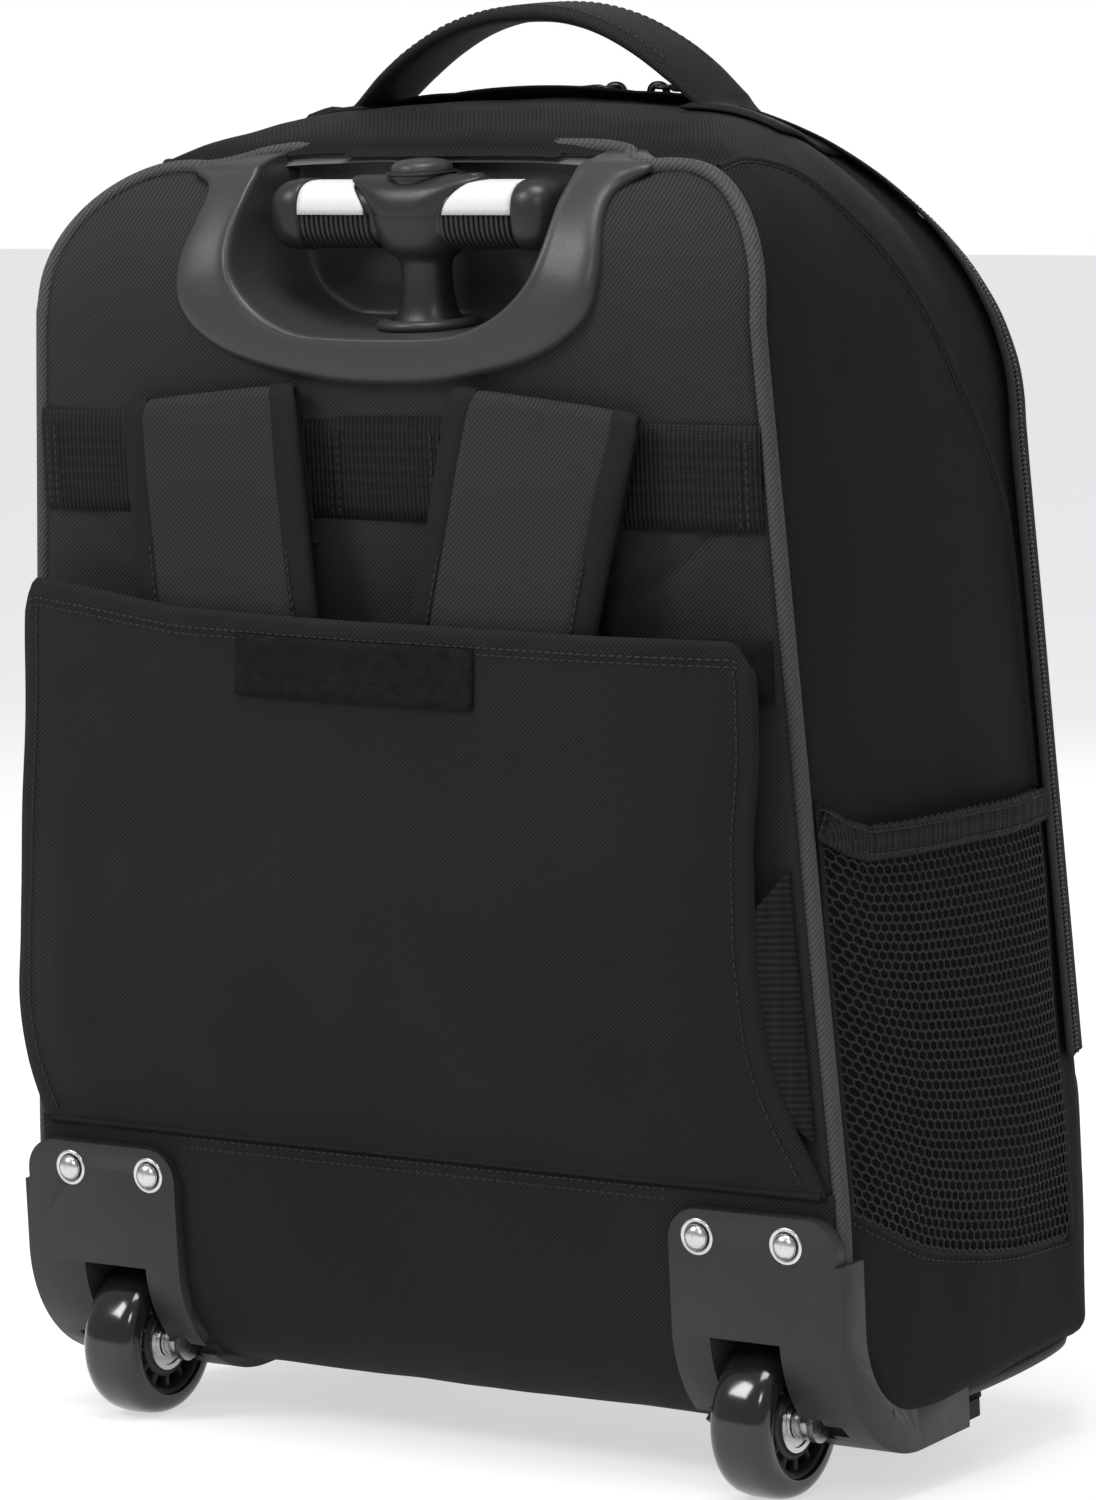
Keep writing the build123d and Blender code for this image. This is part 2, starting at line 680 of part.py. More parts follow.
with BuildPart() as neck_form:
    with BuildSketch(level(CUP_FLOOR + 1.4)):
        with Locations((0, POST_Y)):
            RectangleRounded(33, 27, 9)
    with BuildSketch(level(CUP_FLOOR + 10)):
        with Locations((0, POST_Y)):
            RectangleRounded(21, 17, 6)
    with BuildSketch(level(CUP_FLOOR + 24)):
        with Locations((0, POST_Y)):
            RectangleRounded(19, 15, 5)
    with BuildSketch(level(GRIP_Z - 8)):
        with Locations((0, POST_Y)):
            RectangleRounded(30, 20, 8)
    loft(ruled=True)

with BuildPart() as rod_hole:
    add(plug((12, 8), GRIP_Z - 40, GRIP_Z - 6, 2))
    with BuildSketch(level(GRIP_Z - 10)):
        with Locations((0, POST_Y)):
            Circle(3)
    extrude(amount=10)
    with BuildSketch(level(GRIP_Z - 4)):
        with Locations((0, POST_Y)):
            Circle(6.5)
    extrude(amount=24)

with BuildPart() as grip_lower:
    add(grip_form.part)
    add(neck_form.part)
    split(bisect_by=level(GRIP_Z), keep=Keep.BOTTOM)
    add(plug(INNER_TUBE, CUP_FLOOR - 5, GRIP_Z - 6), mode=Mode.SUBTRACT)
    add(rod_hole.part, mode=Mode.SUBTRACT)
write(grip_lower, "grip_lower")

with BuildPart() as inlay_zone:
    for x in (-INLAY_X, INLAY_X):
        with BuildSketch(level(GRIP_Z + 0.5)):
            with Locations((x, GRIP_Y)):
                Rectangle(INLAY_LENGTH, 60)
        extrude(amount=30)
with BuildPart() as inlay_core:
    with BuildSketch(side(-60)):
        with Locations((GRIP_Y, GRIP_Z)):
            RectangleRounded(GRIP_DEPTH - 2 * INLAY_T, GRIP_HEIGHT - 2 * INLAY_T, 10 - INLAY_T)
    extrude(amount=120)

with BuildPart() as grip_inlays:
    add(grip_form.part)
    add(inlay_zone.part, mode=Mode.INTERSECT)
    add(inlay_core.part, mode=Mode.SUBTRACT)
write(grip_inlays, "grip_inlays")

with BuildPart() as grip_upper:
    add(grip_form.part)
    split(bisect_by=level(GRIP_Z), keep=Keep.TOP)
    add(grip_inlays.part, mode=Mode.SUBTRACT)
    add(rod_hole.part, mode=Mode.SUBTRACT)
    with BuildSketch(level(GRIP_Z + RECESS)):
        with Locations((0, POST_Y)):
            Circle(BUTTON_R + 0.4)
    extrude(amount=20, mode=Mode.SUBTRACT)
write(grip_upper, "grip_upper")

BUTTON_LOW = GRIP_Z + RECESS + BUTTON_TRAVEL + 0.4
with BuildPart() as release_button:
    with BuildSketch(level(BUTTON_LOW)):
        with Locations((0, POST_Y)):
            Circle(BUTTON_R)
    extrude(amount=9)
    fillet(release_button.edges().group_by(Axis.Z)[-1], 4)
write(release_button, "release_button")

with BuildPart() as push_rod:
    with BuildSketch(level(INNER_LOW + 2 + BUTTON_TRAVEL)):
        with Locations((0, POST_Y)):
            Circle(1.8)
    extrude(amount=BUTTON_LOW - INNER_LOW - 2 - BUTTON_TRAVEL)
write(push_rod, "push_rod")

SPRING_LOW = GRIP_Z - 3.9
SPRING_R = 4.4
WIRE_R = 0.4
with BuildPart() as button_spring:
    with BuildLine(level(SPRING_LOW + 0.6)):
        coil = Helix(pitch=2.9, height=12.8, radius=SPRING_R, center=(0, POST_Y, 0))
    with BuildSketch(Plane(coil @ 0, z_dir=coil % 0)):
        Circle(WIRE_R)
    sweep()
write(button_spring, "button_spring")

# ---- bag ----
ZIP_Y = FRONT_Y - ZIP_IN
ZIP_GAP = 0.4


def lid_zone(gap):
    """Everything in front of the zip line, as a solid, drawn back by a gap."""
    with BuildPart() as zone:
        with BuildSketch(side(0)):
            with BuildLine():
                run = Line((ZIP_Y + gap, LID_Z + gap), (ZIP_Y + gap, 380))
                bow = ThreePointArc(run @ 1, (143 + gap, 436 + gap), (104 + gap, 490 + gap))
                Polyline(bow @ 1, (104, 560), (400, 560), (400, LID_Z + gap), run @ 0)
            make_face()
        extrude(amount=REACH, both=True)
    return zone.part


def tub_space(grow):
    """The cup's tub, grown all round and open at the top, for cutting the bag."""
    with BuildPart() as space:
        extrude(cup_opening(CUP_WALL + grow), amount=-(CUP_BACK_OUT + grow))
        extrude(cup_opening(CUP_WALL + grow), amount=60)
    return space.part


skin = whole_body - body_core
with BuildPart() as main_shell:
    add(skin)
    add(lid_zone(-ZIP_GAP), mode=Mode.SUBTRACT)
    add(tub_space(0.3), mode=Mode.SUBTRACT)
    for x in (-WHEEL_X, WHEEL_X):
        add(wheel_well(x, WELL_GAP), mode=Mode.SUBTRACT)
    add(rivet_shanks.part, mode=Mode.SUBTRACT)
    with BuildSketch(level(0)):
        with Locations(*[(x, FOOT_DEEP) for x in SCREW_X]):
            Circle(SCREW_HOLE)
    extrude(amount=60, mode=Mode.SUBTRACT)
write(main_shell, "main_shell")

with BuildPart() as front_lid:
    add(skin)
    add(lid_zone(ZIP_GAP), mode=Mode.INTERSECT)
write(front_lid, "front_lid")

with BuildPart() as inner_liner:
    add(core_clear)
    add(block((-REACH, LINER_Y, 0), (REACH, LINER_Y + LINER_T, 600)), mode=Mode.INTERSECT)
write(inner_liner, "inner_liner")

SLEEVE_Y = 66.0
SLEEVE = (310.0, 290.0, 5.0)
with BuildPart() as laptop_sleeve:
    with BuildSketch(back(SLEEVE_Y)):
        with Locations((0, 182)):
            RectangleRounded(SLEEVE[0], SLEEVE[1], 20)
    extrude(amount=-SLEEVE[2])
    fillet(laptop_sleeve.edges().group_by(Axis.Z)[-1], 1.5)
write(laptop_sleeve, "laptop_sleeve")

with BuildPart() as back_panel:
    add(rear_band(0.02, PAD, SEAM_Z))
    extrude(outline(3.5), amount=REACH, both=True, mode=Mode.INTERSECT)
    add(tub_space(0.3), mode=Mode.SUBTRACT)
write(back_panel, "back_panel")

with BuildPart() as back_piping:
    extrude(outline(-0.6), amount=REACH, both=True)
    extrude(outline(3.4), amount=REACH, both=True, mode=Mode.SUBTRACT)
    add(rear_band(0.5, PAD, SEAM_Z), mode=Mode.INTERSECT)
    add(tub_space(4), mode=Mode.SUBTRACT)
write(back_piping, "back_piping")

with BuildPart() as webbing_band:
    with BuildSketch(back(REAR_Y - 0.05)):
        with Locations((0, sum(WEB_Z) / 2)):
            Rectangle(WEB_LENGTH, WEB_Z[1] - WEB_Z[0])
    extrude(amount=WEB_T)
write(webbing_band, "webbing_band")

with BuildPart() as panel_hook_strip:
    with BuildSketch(back(REAR_Y - 0.05)):
        with Locations((-HOOK_AT[0], HOOK_AT[1]), HOOK_AT):
            Rectangle(HOOK[0], HOOK[1])
    extrude(amount=HOOK[2])
write(panel_hook_strip, "panel_hook_strip")

for label, s in (("shoulder_strap_left", -1), ("shoulder_strap_right", 1)):
    with BuildPart() as strap:
        with BuildSketch(side(0)):
            with BuildLine():
                Polyline(
                    (REAR_Y - 2.2, 330),
                    (REAR_Y - 2.2, 386),
                    (REAR_Y - 5.0, 392),
                    (REAR_Y - 9.5, 388),
                    (REAR_Y - 24.0, 312),
                    (REAR_Y - 24.0, 150),
                    (REAR_Y - 16.5, 150),
                    (REAR_Y - 16.5, 309),
                    (REAR_Y - 6.5, 372),
                    (REAR_Y - 6.2, 330),
                    close=True,
                )
            make_face()
        extrude(amount=REACH, both=True)
        with BuildSketch(back(0)):
            with BuildLine():
                Polyline(
                    (s * STRAP_IN, 400),
                    (s * (STRAP_IN + STRAP_W), 400),
                    (s * STRAP_FOOT, STRAP_BEND),
                    (s * STRAP_FOOT, STRAP_LOW),
                    (s * (STRAP_FOOT - STRAP_W), STRAP_LOW),
                    (s * (STRAP_FOOT - STRAP_W), STRAP_BEND),
                    close=True,
                )
            make_face()
        extrude(amount=REACH, both=True, mode=Mode.INTERSECT)
    write(strap, label)


# ---- apron: the stow pocket on the back panel ----
def apron_form(inset):
    """The apron's bulge as one solid, inset on its outer faces."""
    with BuildPart() as form:
        with BuildSketch(side(0)):
            with BuildLine():
                Polyline(
                    (-14.0, SEAM_Z + inset),
                    (-APRON_OUT + 6 + inset, 134),
                    (-APRON_OUT + inset, 165),
                    (-APRON_OUT + inset, 270),
                    (-APRON_OUT + 3 + inset, APRON_TOP + inset),
                    (-14.0, APRON_TOP + inset),
                    close=True,
                )
            make_face()
        extrude(amount=REACH, both=True)
        with BuildSketch(level(0)):
            with BuildLine():
                Polyline(
                    (-162 + inset, -13.6),
                    (-156 + inset, -24),
                    (-128 + inset, -APRON_OUT + inset),
                    (128 - inset, -APRON_OUT + inset),
                    (156 - inset, -24),
                    (162 - inset, -13.6),
                    close=True,
                )
            make_face()
        extrude(amount=2 * REACH, mode=Mode.INTERSECT)
    return form.part


with BuildPart() as apron:
    add(apron_form(0))
    add(apron_form(APRON_T), mode=Mode.SUBTRACT)
write(apron, "apron")

with BuildPart() as apron_loop_strip:
    with BuildSketch(back(-APRON_OUT - 0.05)):
        with Locations((0, LOOP_Z)):
            Rectangle(LOOP[0], LOOP[1])
    extrude(amount=LOOP[2])
write(apron_loop_strip, "apron_loop_strip")

with BuildPart() as apron_gussets:
    with BuildSketch(back(REAR_Y - 0.05)):
        for s in (-1, 1):
            with BuildLine():
                Polyline((s * 167, 142), (s * 167, 225), (s * 152, 182), close=True)
            make_face()
    extrude(amount=1.2)
write(apron_gussets, "apron_gussets")


# ---- front pockets ----
POCKET_W = 342.0
POCKET_CORNER = 36.0


def pocket_form(inset, points):
    """A front pocket's bulge as one solid, inset all round, behind it the bag."""
    with BuildPart() as form:
        with BuildSketch(side(0)):
            with BuildLine():
                Polyline(*points, close=True)
            make_face()
            if inset:
                offset(amount=-inset, kind=Kind.INTERSECTION, mode=Mode.REPLACE)
        extrude(amount=REACH, both=True)
        extrude(outline(4 + inset), amount=REACH, both=True, mode=Mode.INTERSECT)
        with BuildSketch(level(0)) as top_view:
            with Locations((0, 150)):
                Rectangle(POCKET_W, 110)
            fillet(top_view.vertices().group_by(Axis.Y)[-1], POCKET_CORNER)
            if inset:
                offset(amount=-inset, kind=Kind.INTERSECTION, mode=Mode.REPLACE)
        extrude(amount=2 * REACH, mode=Mode.INTERSECT)
    return form.part


UPPER_LOW = LID_Z + ZIP_GAP
UPPER_POCKET = ((162, UPPER_LOW), (199, UPPER_LOW), (194, 175), (184, 225), (173, 250), (162, 250))
LOWER_LOW = BOTTOM_Z + PAD
LOWER_TOP = LID_Z - ZIP_GAP
LOWER_POCKET = (
    (150, LOWER_LOW), (196, LOWER_LOW), (204, 50), (204, 100), (199, LOWER_TOP), (150, LOWER_TOP)
)
for label, points in (("upper_pocket", UPPER_POCKET), ("lower_pocket", LOWER_POCKET)):
    with BuildPart() as pocket:
        add(pocket_form(0, points))
        add(body_clear, mode=Mode.SUBTRACT)
        add(pocket_form(SKIN, points) - body_grown, mode=Mode.SUBTRACT)
    write(pocket, label)


# ---- side pockets ----
MESH_OUT = 6.4
MESH_T = 1.2
ELASTIC_T = 1.4


def side_zone(inset, top=0.0):
    """Side view of the mesh pocket as a solid, inset at the ends and below, raised at the top."""
    with BuildPart() as zone:
        with BuildSketch(side(0)):
            with BuildLine():
                Polyline(
                    (REAR_Y + PAD + 1 + inset, 108 + inset),
                    (36, 86 + inset),
                    (94, 73 + inset),
                    (145 - inset, 68 + inset),
                    (145 - inset, 232 + top),
                    (15, 239 + top),
                    (REAR_Y + PAD + 1 + inset, 249 + top),
                    close=True,
                )
            make_face()
        extrude(amount=REACH)
    return zone.part


with BuildPart() as side_wall:
    extrude(outline(-0.05), amount=REACH, both=True)
with BuildPart() as mesh_space:
    extrude(outline(-MESH_OUT + MESH_T), amount=REACH, both=True)
with BuildPart() as mesh_pocket:
    extrude(outline(-MESH_OUT), amount=REACH, both=True)
    add(side_zone(0), mode=Mode.INTERSECT)
    add(mesh_space.part & side_zone(1.6, 10), mode=Mode.SUBTRACT)
    add(side_wall.part, mode=Mode.SUBTRACT)
write(mesh_pocket, "mesh_pocket_right")
with BuildPart() as mesh_left:
    mirror(mesh_pocket.part, about=Plane.YZ)
write(mesh_left, "mesh_pocket_left")

with BuildPart() as pocket_elastics:
    extrude(outline(-MESH_OUT - ELASTIC_T), amount=REACH, both=True)
    extrude(outline(-MESH_OUT - 0.05), amount=REACH, both=True, mode=Mode.SUBTRACT)
    add(side_zone(0) - side_zone(-1, -12), mode=Mode.INTERSECT)
    mirror(about=Plane.YZ)
write(pocket_elastics, "pocket_elastics")

# ---- carry handle ----
ANCHOR_X = (66.0, 90.0)
ANCHOR_T = 1.2
STRAP_T = 5.0
TURN_R = 2.4
TURN_LENGTH = 16.0
TURN_X = HANDLE_X - 10.0
with BuildPart() as handle_anchors:
    with BuildSketch(back(HANDLE_Y - HANDLE_W / 2)):
        for s in (-1, 1):
            with BuildLine():
                Polyline(
                    (s * ANCHOR_X[0], CROWN[1] + 0.1),
                    (s * ANCHOR_X[1], CROWN[1] - 4),
                    (s * ANCHOR_X[1], CROWN[1] + ANCHOR_T),
                    (s * ANCHOR_X[0], CROWN[1] + ANCHOR_T),
                    close=True,
                )
            make_face()
    extrude(amount=-HANDLE_W)
    add(body_clear, mode=Mode.SUBTRACT)
write(handle_anchors, "handle_anchors")

with BuildPart() as carry_handle:
    with BuildSketch(back(HANDLE_Y - HANDLE_W / 2)):
        with BuildLine():
            out_arc = ThreePointArc(
                (-HANDLE_X - 4, HANDLE_AXIS_Z), (0, HANDLE_TOP), (HANDLE_X + 4, HANDLE_AXIS_Z)
            )
            Line(out_arc @ 1, (HANDLE_X - 6, HANDLE_AXIS_Z))
            in_arc = ThreePointArc(
                (HANDLE_X - 6, HANDLE_AXIS_Z), (0, HANDLE_TOP - STRAP_T), (6 - HANDLE_X, HANDLE_AXIS_Z)
            )
            Line(in_arc @ 1, out_arc @ 0)
        make_face()
    extrude(amount=-HANDLE_W)
    with BuildSketch(side(0)):
        with BuildLine():
            Polyline(
                (HANDLE_Y - 1.5, HANDLE_AXIS_Z),
                (HANDLE_Y + 1.5, HANDLE_AXIS_Z),
                (HANDLE_Y + HANDLE_W / 2, HANDLE_AXIS_Z + 20),
                (HANDLE_Y + HANDLE_W / 2, HANDLE_TOP + 5),
                (HANDLE_Y - HANDLE_W / 2, HANDLE_TOP + 5),
                (HANDLE_Y - HANDLE_W / 2, HANDLE_AXIS_Z + 20),
                close=True,
            )
        make_face()
    extrude(amount=REACH, both=True, mode=Mode.INTERSECT)
    for start in (TURN_X, -TURN_X - TURN_LENGTH):
        with BuildSketch(side(start)):
            with Locations((HANDLE_Y, HANDLE_AXIS_Z)):
                Circle(TURN_R)
        extrude(amount=TURN_LENGTH)
write(carry_handle, "carry_handle")

# ---- zips ----
SLIDER_Y = 112.0
SLIDER_TOP = CROWN[1] + 1.0
PIN_R = 0.9
PIN_FIT = 0.1
BARREL_R = 2.2
EAR = (3.2, 1.4)
PULL_W = 9.0
PULL_T = 1.8
TOP_PINS = (22.0, 40.0)
TOP_PIN_Z = SLIDER_TOP + 4.6
TOP_PULL = 26.0
SIDE_PIN = (-169.9, 303.0)
SIDE_PIN_Y = 4.5
SIDE_PULL = 40.0
EAR_GAP = PULL_W / 2 + 0.4
PIN_LENGTH = 2 * EAR_GAP + EAR[1]
SLIDER_T = 2.6
SLIDER_L = 12.0

with BuildPart() as zip_sliders:
    with BuildSketch(level(SLIDER_TOP - 0.9)):
        with Locations(*[(x, SLIDER_Y) for x in TOP_PINS]):
            RectangleRounded(SLIDER_L, 2 * (EAR_GAP + EAR[1]), 2)
    extrude(amount=SLIDER_T)
    with BuildSketch(level(SLIDER_TOP + 1)):
        for x in TOP_PINS:
            for s in (-1, 1):
                with Locations((x, SLIDER_Y + s * (EAR_GAP + EAR[1] / 2))):
                    Rectangle(*EAR)
    extrude(amount=TOP_PIN_Z + EAR[0] / 2 - SLIDER_TOP - 1)
    with BuildSketch(back(SLIDER_Y - EAR_GAP - EAR[1] / 2)):
        with Locations(*[(x, TOP_PIN_Z) for x in TOP_PINS]):
            Circle(PIN_R)
    extrude(amount=-PIN_LENGTH)
    with BuildSketch(back(SIDE_PIN_Y + EAR_GAP + EAR[1])):
        with Locations((SIDE_PIN[0] + 4.7, SIDE_PIN[1] + 2)):
            RectangleRounded(3.6, SLIDER_L, 1.2)
    extrude(amount=2 * (EAR_GAP + EAR[1]))
    for s in (-1, 1):
        with BuildSketch(back(SIDE_PIN_Y + s * (EAR_GAP + EAR[1] / 2) + EAR[1] / 2)):
            with Locations((SIDE_PIN[0] + 1.5, SIDE_PIN[1])):
                Rectangle(6.2, EAR[0])
        extrude(amount=EAR[1])
    with BuildSketch(back(SIDE_PIN_Y - EAR_GAP - EAR[1] / 2)):
        with Locations(SIDE_PIN):
            Circle(PIN_R)
    extrude(amount=-PIN_LENGTH)
    add(body_clear, mode=Mode.SUBTRACT)
write(zip_sliders, "zip_sliders")

for label, s, x in (("main_pull_left", -1, TOP_PINS[0]), ("main_pull_right", 1, TOP_PINS[1])):
    with BuildPart() as pull:
        with BuildSketch(back(SLIDER_Y + PULL_W / 2)):
            with Locations((x, TOP_PIN_Z)):
                Circle(BARREL_R)
            with Locations((x + s * TOP_PULL / 2, TOP_PIN_Z)):
                Rectangle(TOP_PULL, PULL_T)
            with Locations((x, TOP_PIN_Z)):
                Circle(PIN_R + PIN_FIT, mode=Mode.SUBTRACT)
        extrude(amount=PULL_W)
    write(pull, label)

with BuildPart() as side_pull:
    with BuildSketch(back(SIDE_PIN_Y + PULL_W / 2)):
        with Locations(SIDE_PIN):
            Circle(BARREL_R)
        with Locations((SIDE_PIN[0], SIDE_PIN[1] - SIDE_PULL / 2)):
            Rectangle(PULL_T, SIDE_PULL)
        with Locations(SIDE_PIN):
            Circle(PIN_R + PIN_FIT, mode=Mode.SUBTRACT)
    extrude(amount=PULL_W)
write(side_pull, "side_pull")
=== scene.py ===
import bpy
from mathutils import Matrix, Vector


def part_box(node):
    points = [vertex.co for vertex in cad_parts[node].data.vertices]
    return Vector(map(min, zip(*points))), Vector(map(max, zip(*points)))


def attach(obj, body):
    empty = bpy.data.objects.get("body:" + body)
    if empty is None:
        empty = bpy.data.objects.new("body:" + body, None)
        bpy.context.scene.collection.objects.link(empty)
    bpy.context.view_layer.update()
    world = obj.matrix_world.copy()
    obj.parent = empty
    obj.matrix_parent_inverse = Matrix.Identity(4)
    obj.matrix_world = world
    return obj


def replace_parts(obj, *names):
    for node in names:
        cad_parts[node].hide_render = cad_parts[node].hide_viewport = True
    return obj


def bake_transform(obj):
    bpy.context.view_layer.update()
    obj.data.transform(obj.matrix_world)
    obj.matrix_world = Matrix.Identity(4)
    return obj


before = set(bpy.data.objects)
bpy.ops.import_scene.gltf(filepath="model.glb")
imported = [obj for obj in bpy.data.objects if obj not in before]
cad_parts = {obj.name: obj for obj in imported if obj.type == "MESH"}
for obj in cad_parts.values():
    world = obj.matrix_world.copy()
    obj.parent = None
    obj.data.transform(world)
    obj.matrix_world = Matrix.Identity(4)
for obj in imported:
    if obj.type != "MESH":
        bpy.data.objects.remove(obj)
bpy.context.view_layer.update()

import math
from contextlib import contextmanager

import bmesh
import bpy
import numpy as np
from mathutils import Matrix, Vector, bvhtree, noise

# ---------------------------------------------------------------- the bag's own frame
# Shapes are drawn in millimetres in the bag's frame: x right, y from the wheel side to the
# pocket side, z up the back panel, z = 0 level with the floor under the axle.
LEAN = math.radians(4.5)
AXLE_Z = 28.0
UP = np.array([0.0, -math.sin(LEAN), math.cos(LEAN)])
DEEP = np.array([0.0, math.cos(LEAN), math.sin(LEAN)])
tyre_low, tyre_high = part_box("tyre_right")
AXLE = np.array((tyre_low + tyre_high) / 2)
WHEEL_X = AXLE[0] * 1000
FOOT_OF_BAG = np.array([0.0, AXLE[1], AXLE[2]]) - UP * AXLE_Z / 1000

REAR_Y = -11.4
EDGE_TOP = 467.0
CURL_Z = 408.0
CURL_R = 75.0
SIDES = (("left", -1), ("right", 1))
HALF_LOW = 176.0
HALF_TOP = 152.0
TAPER_Z = 105.0
BOTTOM_Z = 20.0
SEAM_Z = 113.0
POST_Y = 17.5
GRIP_Y = 16.5
GRIP_Z = 450.5


def to_row(points):
    """Bag-frame millimetres to row-frame metres."""
    p = np.asarray(points, float) / 1000
    return FOOT_OF_BAG + p[..., :1] * (1, 0, 0) + p[..., 1:2] * DEEP + p[..., 2:3] * UP


def place(x, y, z):
    """One bag-frame point as a row-frame tuple."""
    return tuple(float(v) for v in to_row((x, y, z)))


def to_bag(points):
    """Row-frame metres to bag-frame millimetres."""
    offset = np.asarray(points, float) - FOOT_OF_BAG
    return np.stack([offset[..., 0], offset @ DEEP, offset @ UP], -1) * 1000


def half_width(z):
    """Half the bag's width at the rear edge, at height z."""
    slope = (HALF_LOW - HALF_TOP) / (EDGE_TOP - TAPER_Z)
    return HALF_LOW - np.maximum(np.asarray(z, float) - TAPER_Z, 0) * slope


def rear_face(z):
    """The back panel's y at height z: straight, then curling forward at the top."""
    z = np.asarray(z, float)
    rise = np.clip(z - CURL_Z, 0, CURL_R * 0.98)
    return REAR_Y + CURL_R - np.where(z > CURL_Z, np.sqrt(CURL_R**2 - rise**2), CURL_R)


# ---------------------------------------------------------------- mesh tools
def new_object(name, mesh):
    """A mesh as an object in the scene."""
    obj = bpy.data.objects.new(name, mesh)
    bpy.context.scene.collection.objects.link(obj)
    return obj


def shade_smooth(mesh):
    """Smooth shading on every face."""
    mesh.polygons.foreach_set("use_smooth", [True] * len(mesh.polygons))


@contextmanager
def mesh_edit(mesh):
    """A mesh opened for editing, and written back afterwards."""
    data = bmesh.new()
    data.from_mesh(mesh)
    yield data
    data.to_mesh(mesh)
    data.free()


def thicken(obj, thickness, offset=-1):
    """Gives a sheet its thickness in millimetres, inward unless told otherwise."""
    solid = obj.modifiers.new("thick", "SOLIDIFY")
    solid.thickness = thickness / 1000
    solid.offset = offset
    apply_modifiers(obj)


def from_arrays(name, points, faces, uvs=None):
    """An object from bag-frame points and faces, with an optional uv per point in metres."""
    mesh = bpy.data.meshes.new(name)
    mesh.from_pydata(to_row(points).tolist(), [], [list(map(int, f)) for f in faces])
    if uvs is not None:
        layer = mesh.uv_layers.new(name="cloth")
        index = np.empty(len(mesh.loops), np.int32)
        mesh.loops.foreach_get("vertex_index", index)
        layer.data.foreach_set("uv", np.asarray(uvs, np.float32)[index].ravel())
    mesh.validate()
    mesh.update()
    obj = new_object(name, mesh)
    shade_smooth(mesh)
    return obj


def grid_faces(rows, columns, wrap_rows=False, wrap_columns=False, offset=0):
    """Quads of a rows x columns grid of points."""
    faces = []
    for i in range(rows if wrap_rows else rows - 1):
        for j in range(columns if wrap_columns else columns - 1):
            a = i * columns + j
            b = i * columns + (j + 1) % columns
            c = ((i + 1) % rows) * columns + (j + 1) % columns
            d = ((i + 1) % rows) * columns + j
            faces.append((a + offset, b + offset, c + offset, d + offset))
    return faces


def cloth_uv(points):
    """Arc lengths along both directions of a grid of points, in metres, for a weave."""
    points = np.asarray(points, float)
    du = np.linalg.norm(np.diff(points, axis=0), axis=-1)
    dv = np.linalg.norm(np.diff(points, axis=1), axis=-1)
    u = np.concatenate([np.zeros((1, points.shape[1])), np.cumsum(du, 0)])
    v = np.concatenate([np.zeros((points.shape[0], 1)), np.cumsum(dv, 1)], 1)
    return np.stack([u, v], -1).reshape(-1, 2) / 1000


def surface(name, points, thickness=0.0, wrap_columns=False):
    """A cloth surface from a grid of bag-frame points, optionally thickened inward."""
    points = np.asarray(points, float)
    rows, columns = points.shape[:2]
    faces = grid_faces(rows, columns, False, wrap_columns)
    obj = from_arrays(name, points.reshape(-1, 3), faces, cloth_uv(points))
    if thickness:
        thicken(obj, thickness)
    return obj


def apply_modifiers(obj):
    """Applies every modifier to the mesh."""
    graph = bpy.context.evaluated_depsgraph_get()
    mesh = bpy.data.meshes.new_from_object(obj.evaluated_get(graph))
    obj.modifiers.clear()
    old = obj.data
    mesh.name = old.name
    obj.data = mesh
    bpy.data.meshes.remove(old)


def subdivide(obj):
    """Applies a subdivision surface."""
    modifier = obj.modifiers.new("smooth", "SUBSURF")
    modifier.levels = modifier.render_levels = 1
    apply_modifiers(obj)
    shade_smooth(obj.data)
    return obj


def end_caps(rows, columns):
    """The two closing faces of a tube of rows rings."""
    return [tuple(range(columns)), tuple(reversed(range((rows - 1) * columns, rows * columns)))]


def lengths_along(path):
    """The distance along a path at each of its points."""
    return np.concatenate([[0], np.cumsum(np.linalg.norm(np.diff(path, axis=0), axis=1))])


def sampled(at, gaps, values):
    """Values given along a path, read at other distances along it."""
    return np.stack([np.interp(at, gaps, values[:, k]) for k in range(values.shape[1])], 1)


def tangents_of(path):
    """Unit directions along a path."""
    run = np.gradient(path, axis=0)
    return run / np.linalg.norm(run, axis=1)[:, None]


def frames_along(path, first_normal=None):
    """Tangents and two normals along a path, turning as little as possible."""
    tangents = tangents_of(path)
    current = np.array([0, -1.0, 0]) if first_normal is None else np.asarray(first_normal, float)
    normals = []
    for t in tangents:
        current = current - t * (current @ t)
        current = current / np.linalg.norm(current)
        normals.append(current)
    normals = np.array(normals)
    return tangents, normals, np.cross(tangents, normals)


def sweep(name, path, section, normal=None, closed=False):
    """A closed section (across, out) carried along a path; out follows the given normal."""
    path = np.asarray(path, float)
    section = np.asarray(section, float)
    _, out, across = frames_along(path, normal)
    rings = path[:, None] + across[:, None] * section[None, :, :1] + out[:, None] * section[None, :, 1:]
    rows, columns = rings.shape[:2]
    faces = grid_faces(rows, columns, closed, True)
    if not closed:
        faces += end_caps(rows, columns)
    wrapped = np.concatenate([rings, rings[:, :1]], 1)
    uv = cloth_uv(wrapped).reshape(rows, columns + 1, 2)[:, :columns].reshape(-1, 2)
    return from_arrays(name, rings.reshape(-1, 3), faces, uv)


def round_section(radius, sides=12):
    """A circle as a section."""
    turn = np.linspace(0, 2 * math.pi, sides, endpoint=False)
    return np.stack([radius * np.cos(turn), radius * np.sin(turn)], 1)


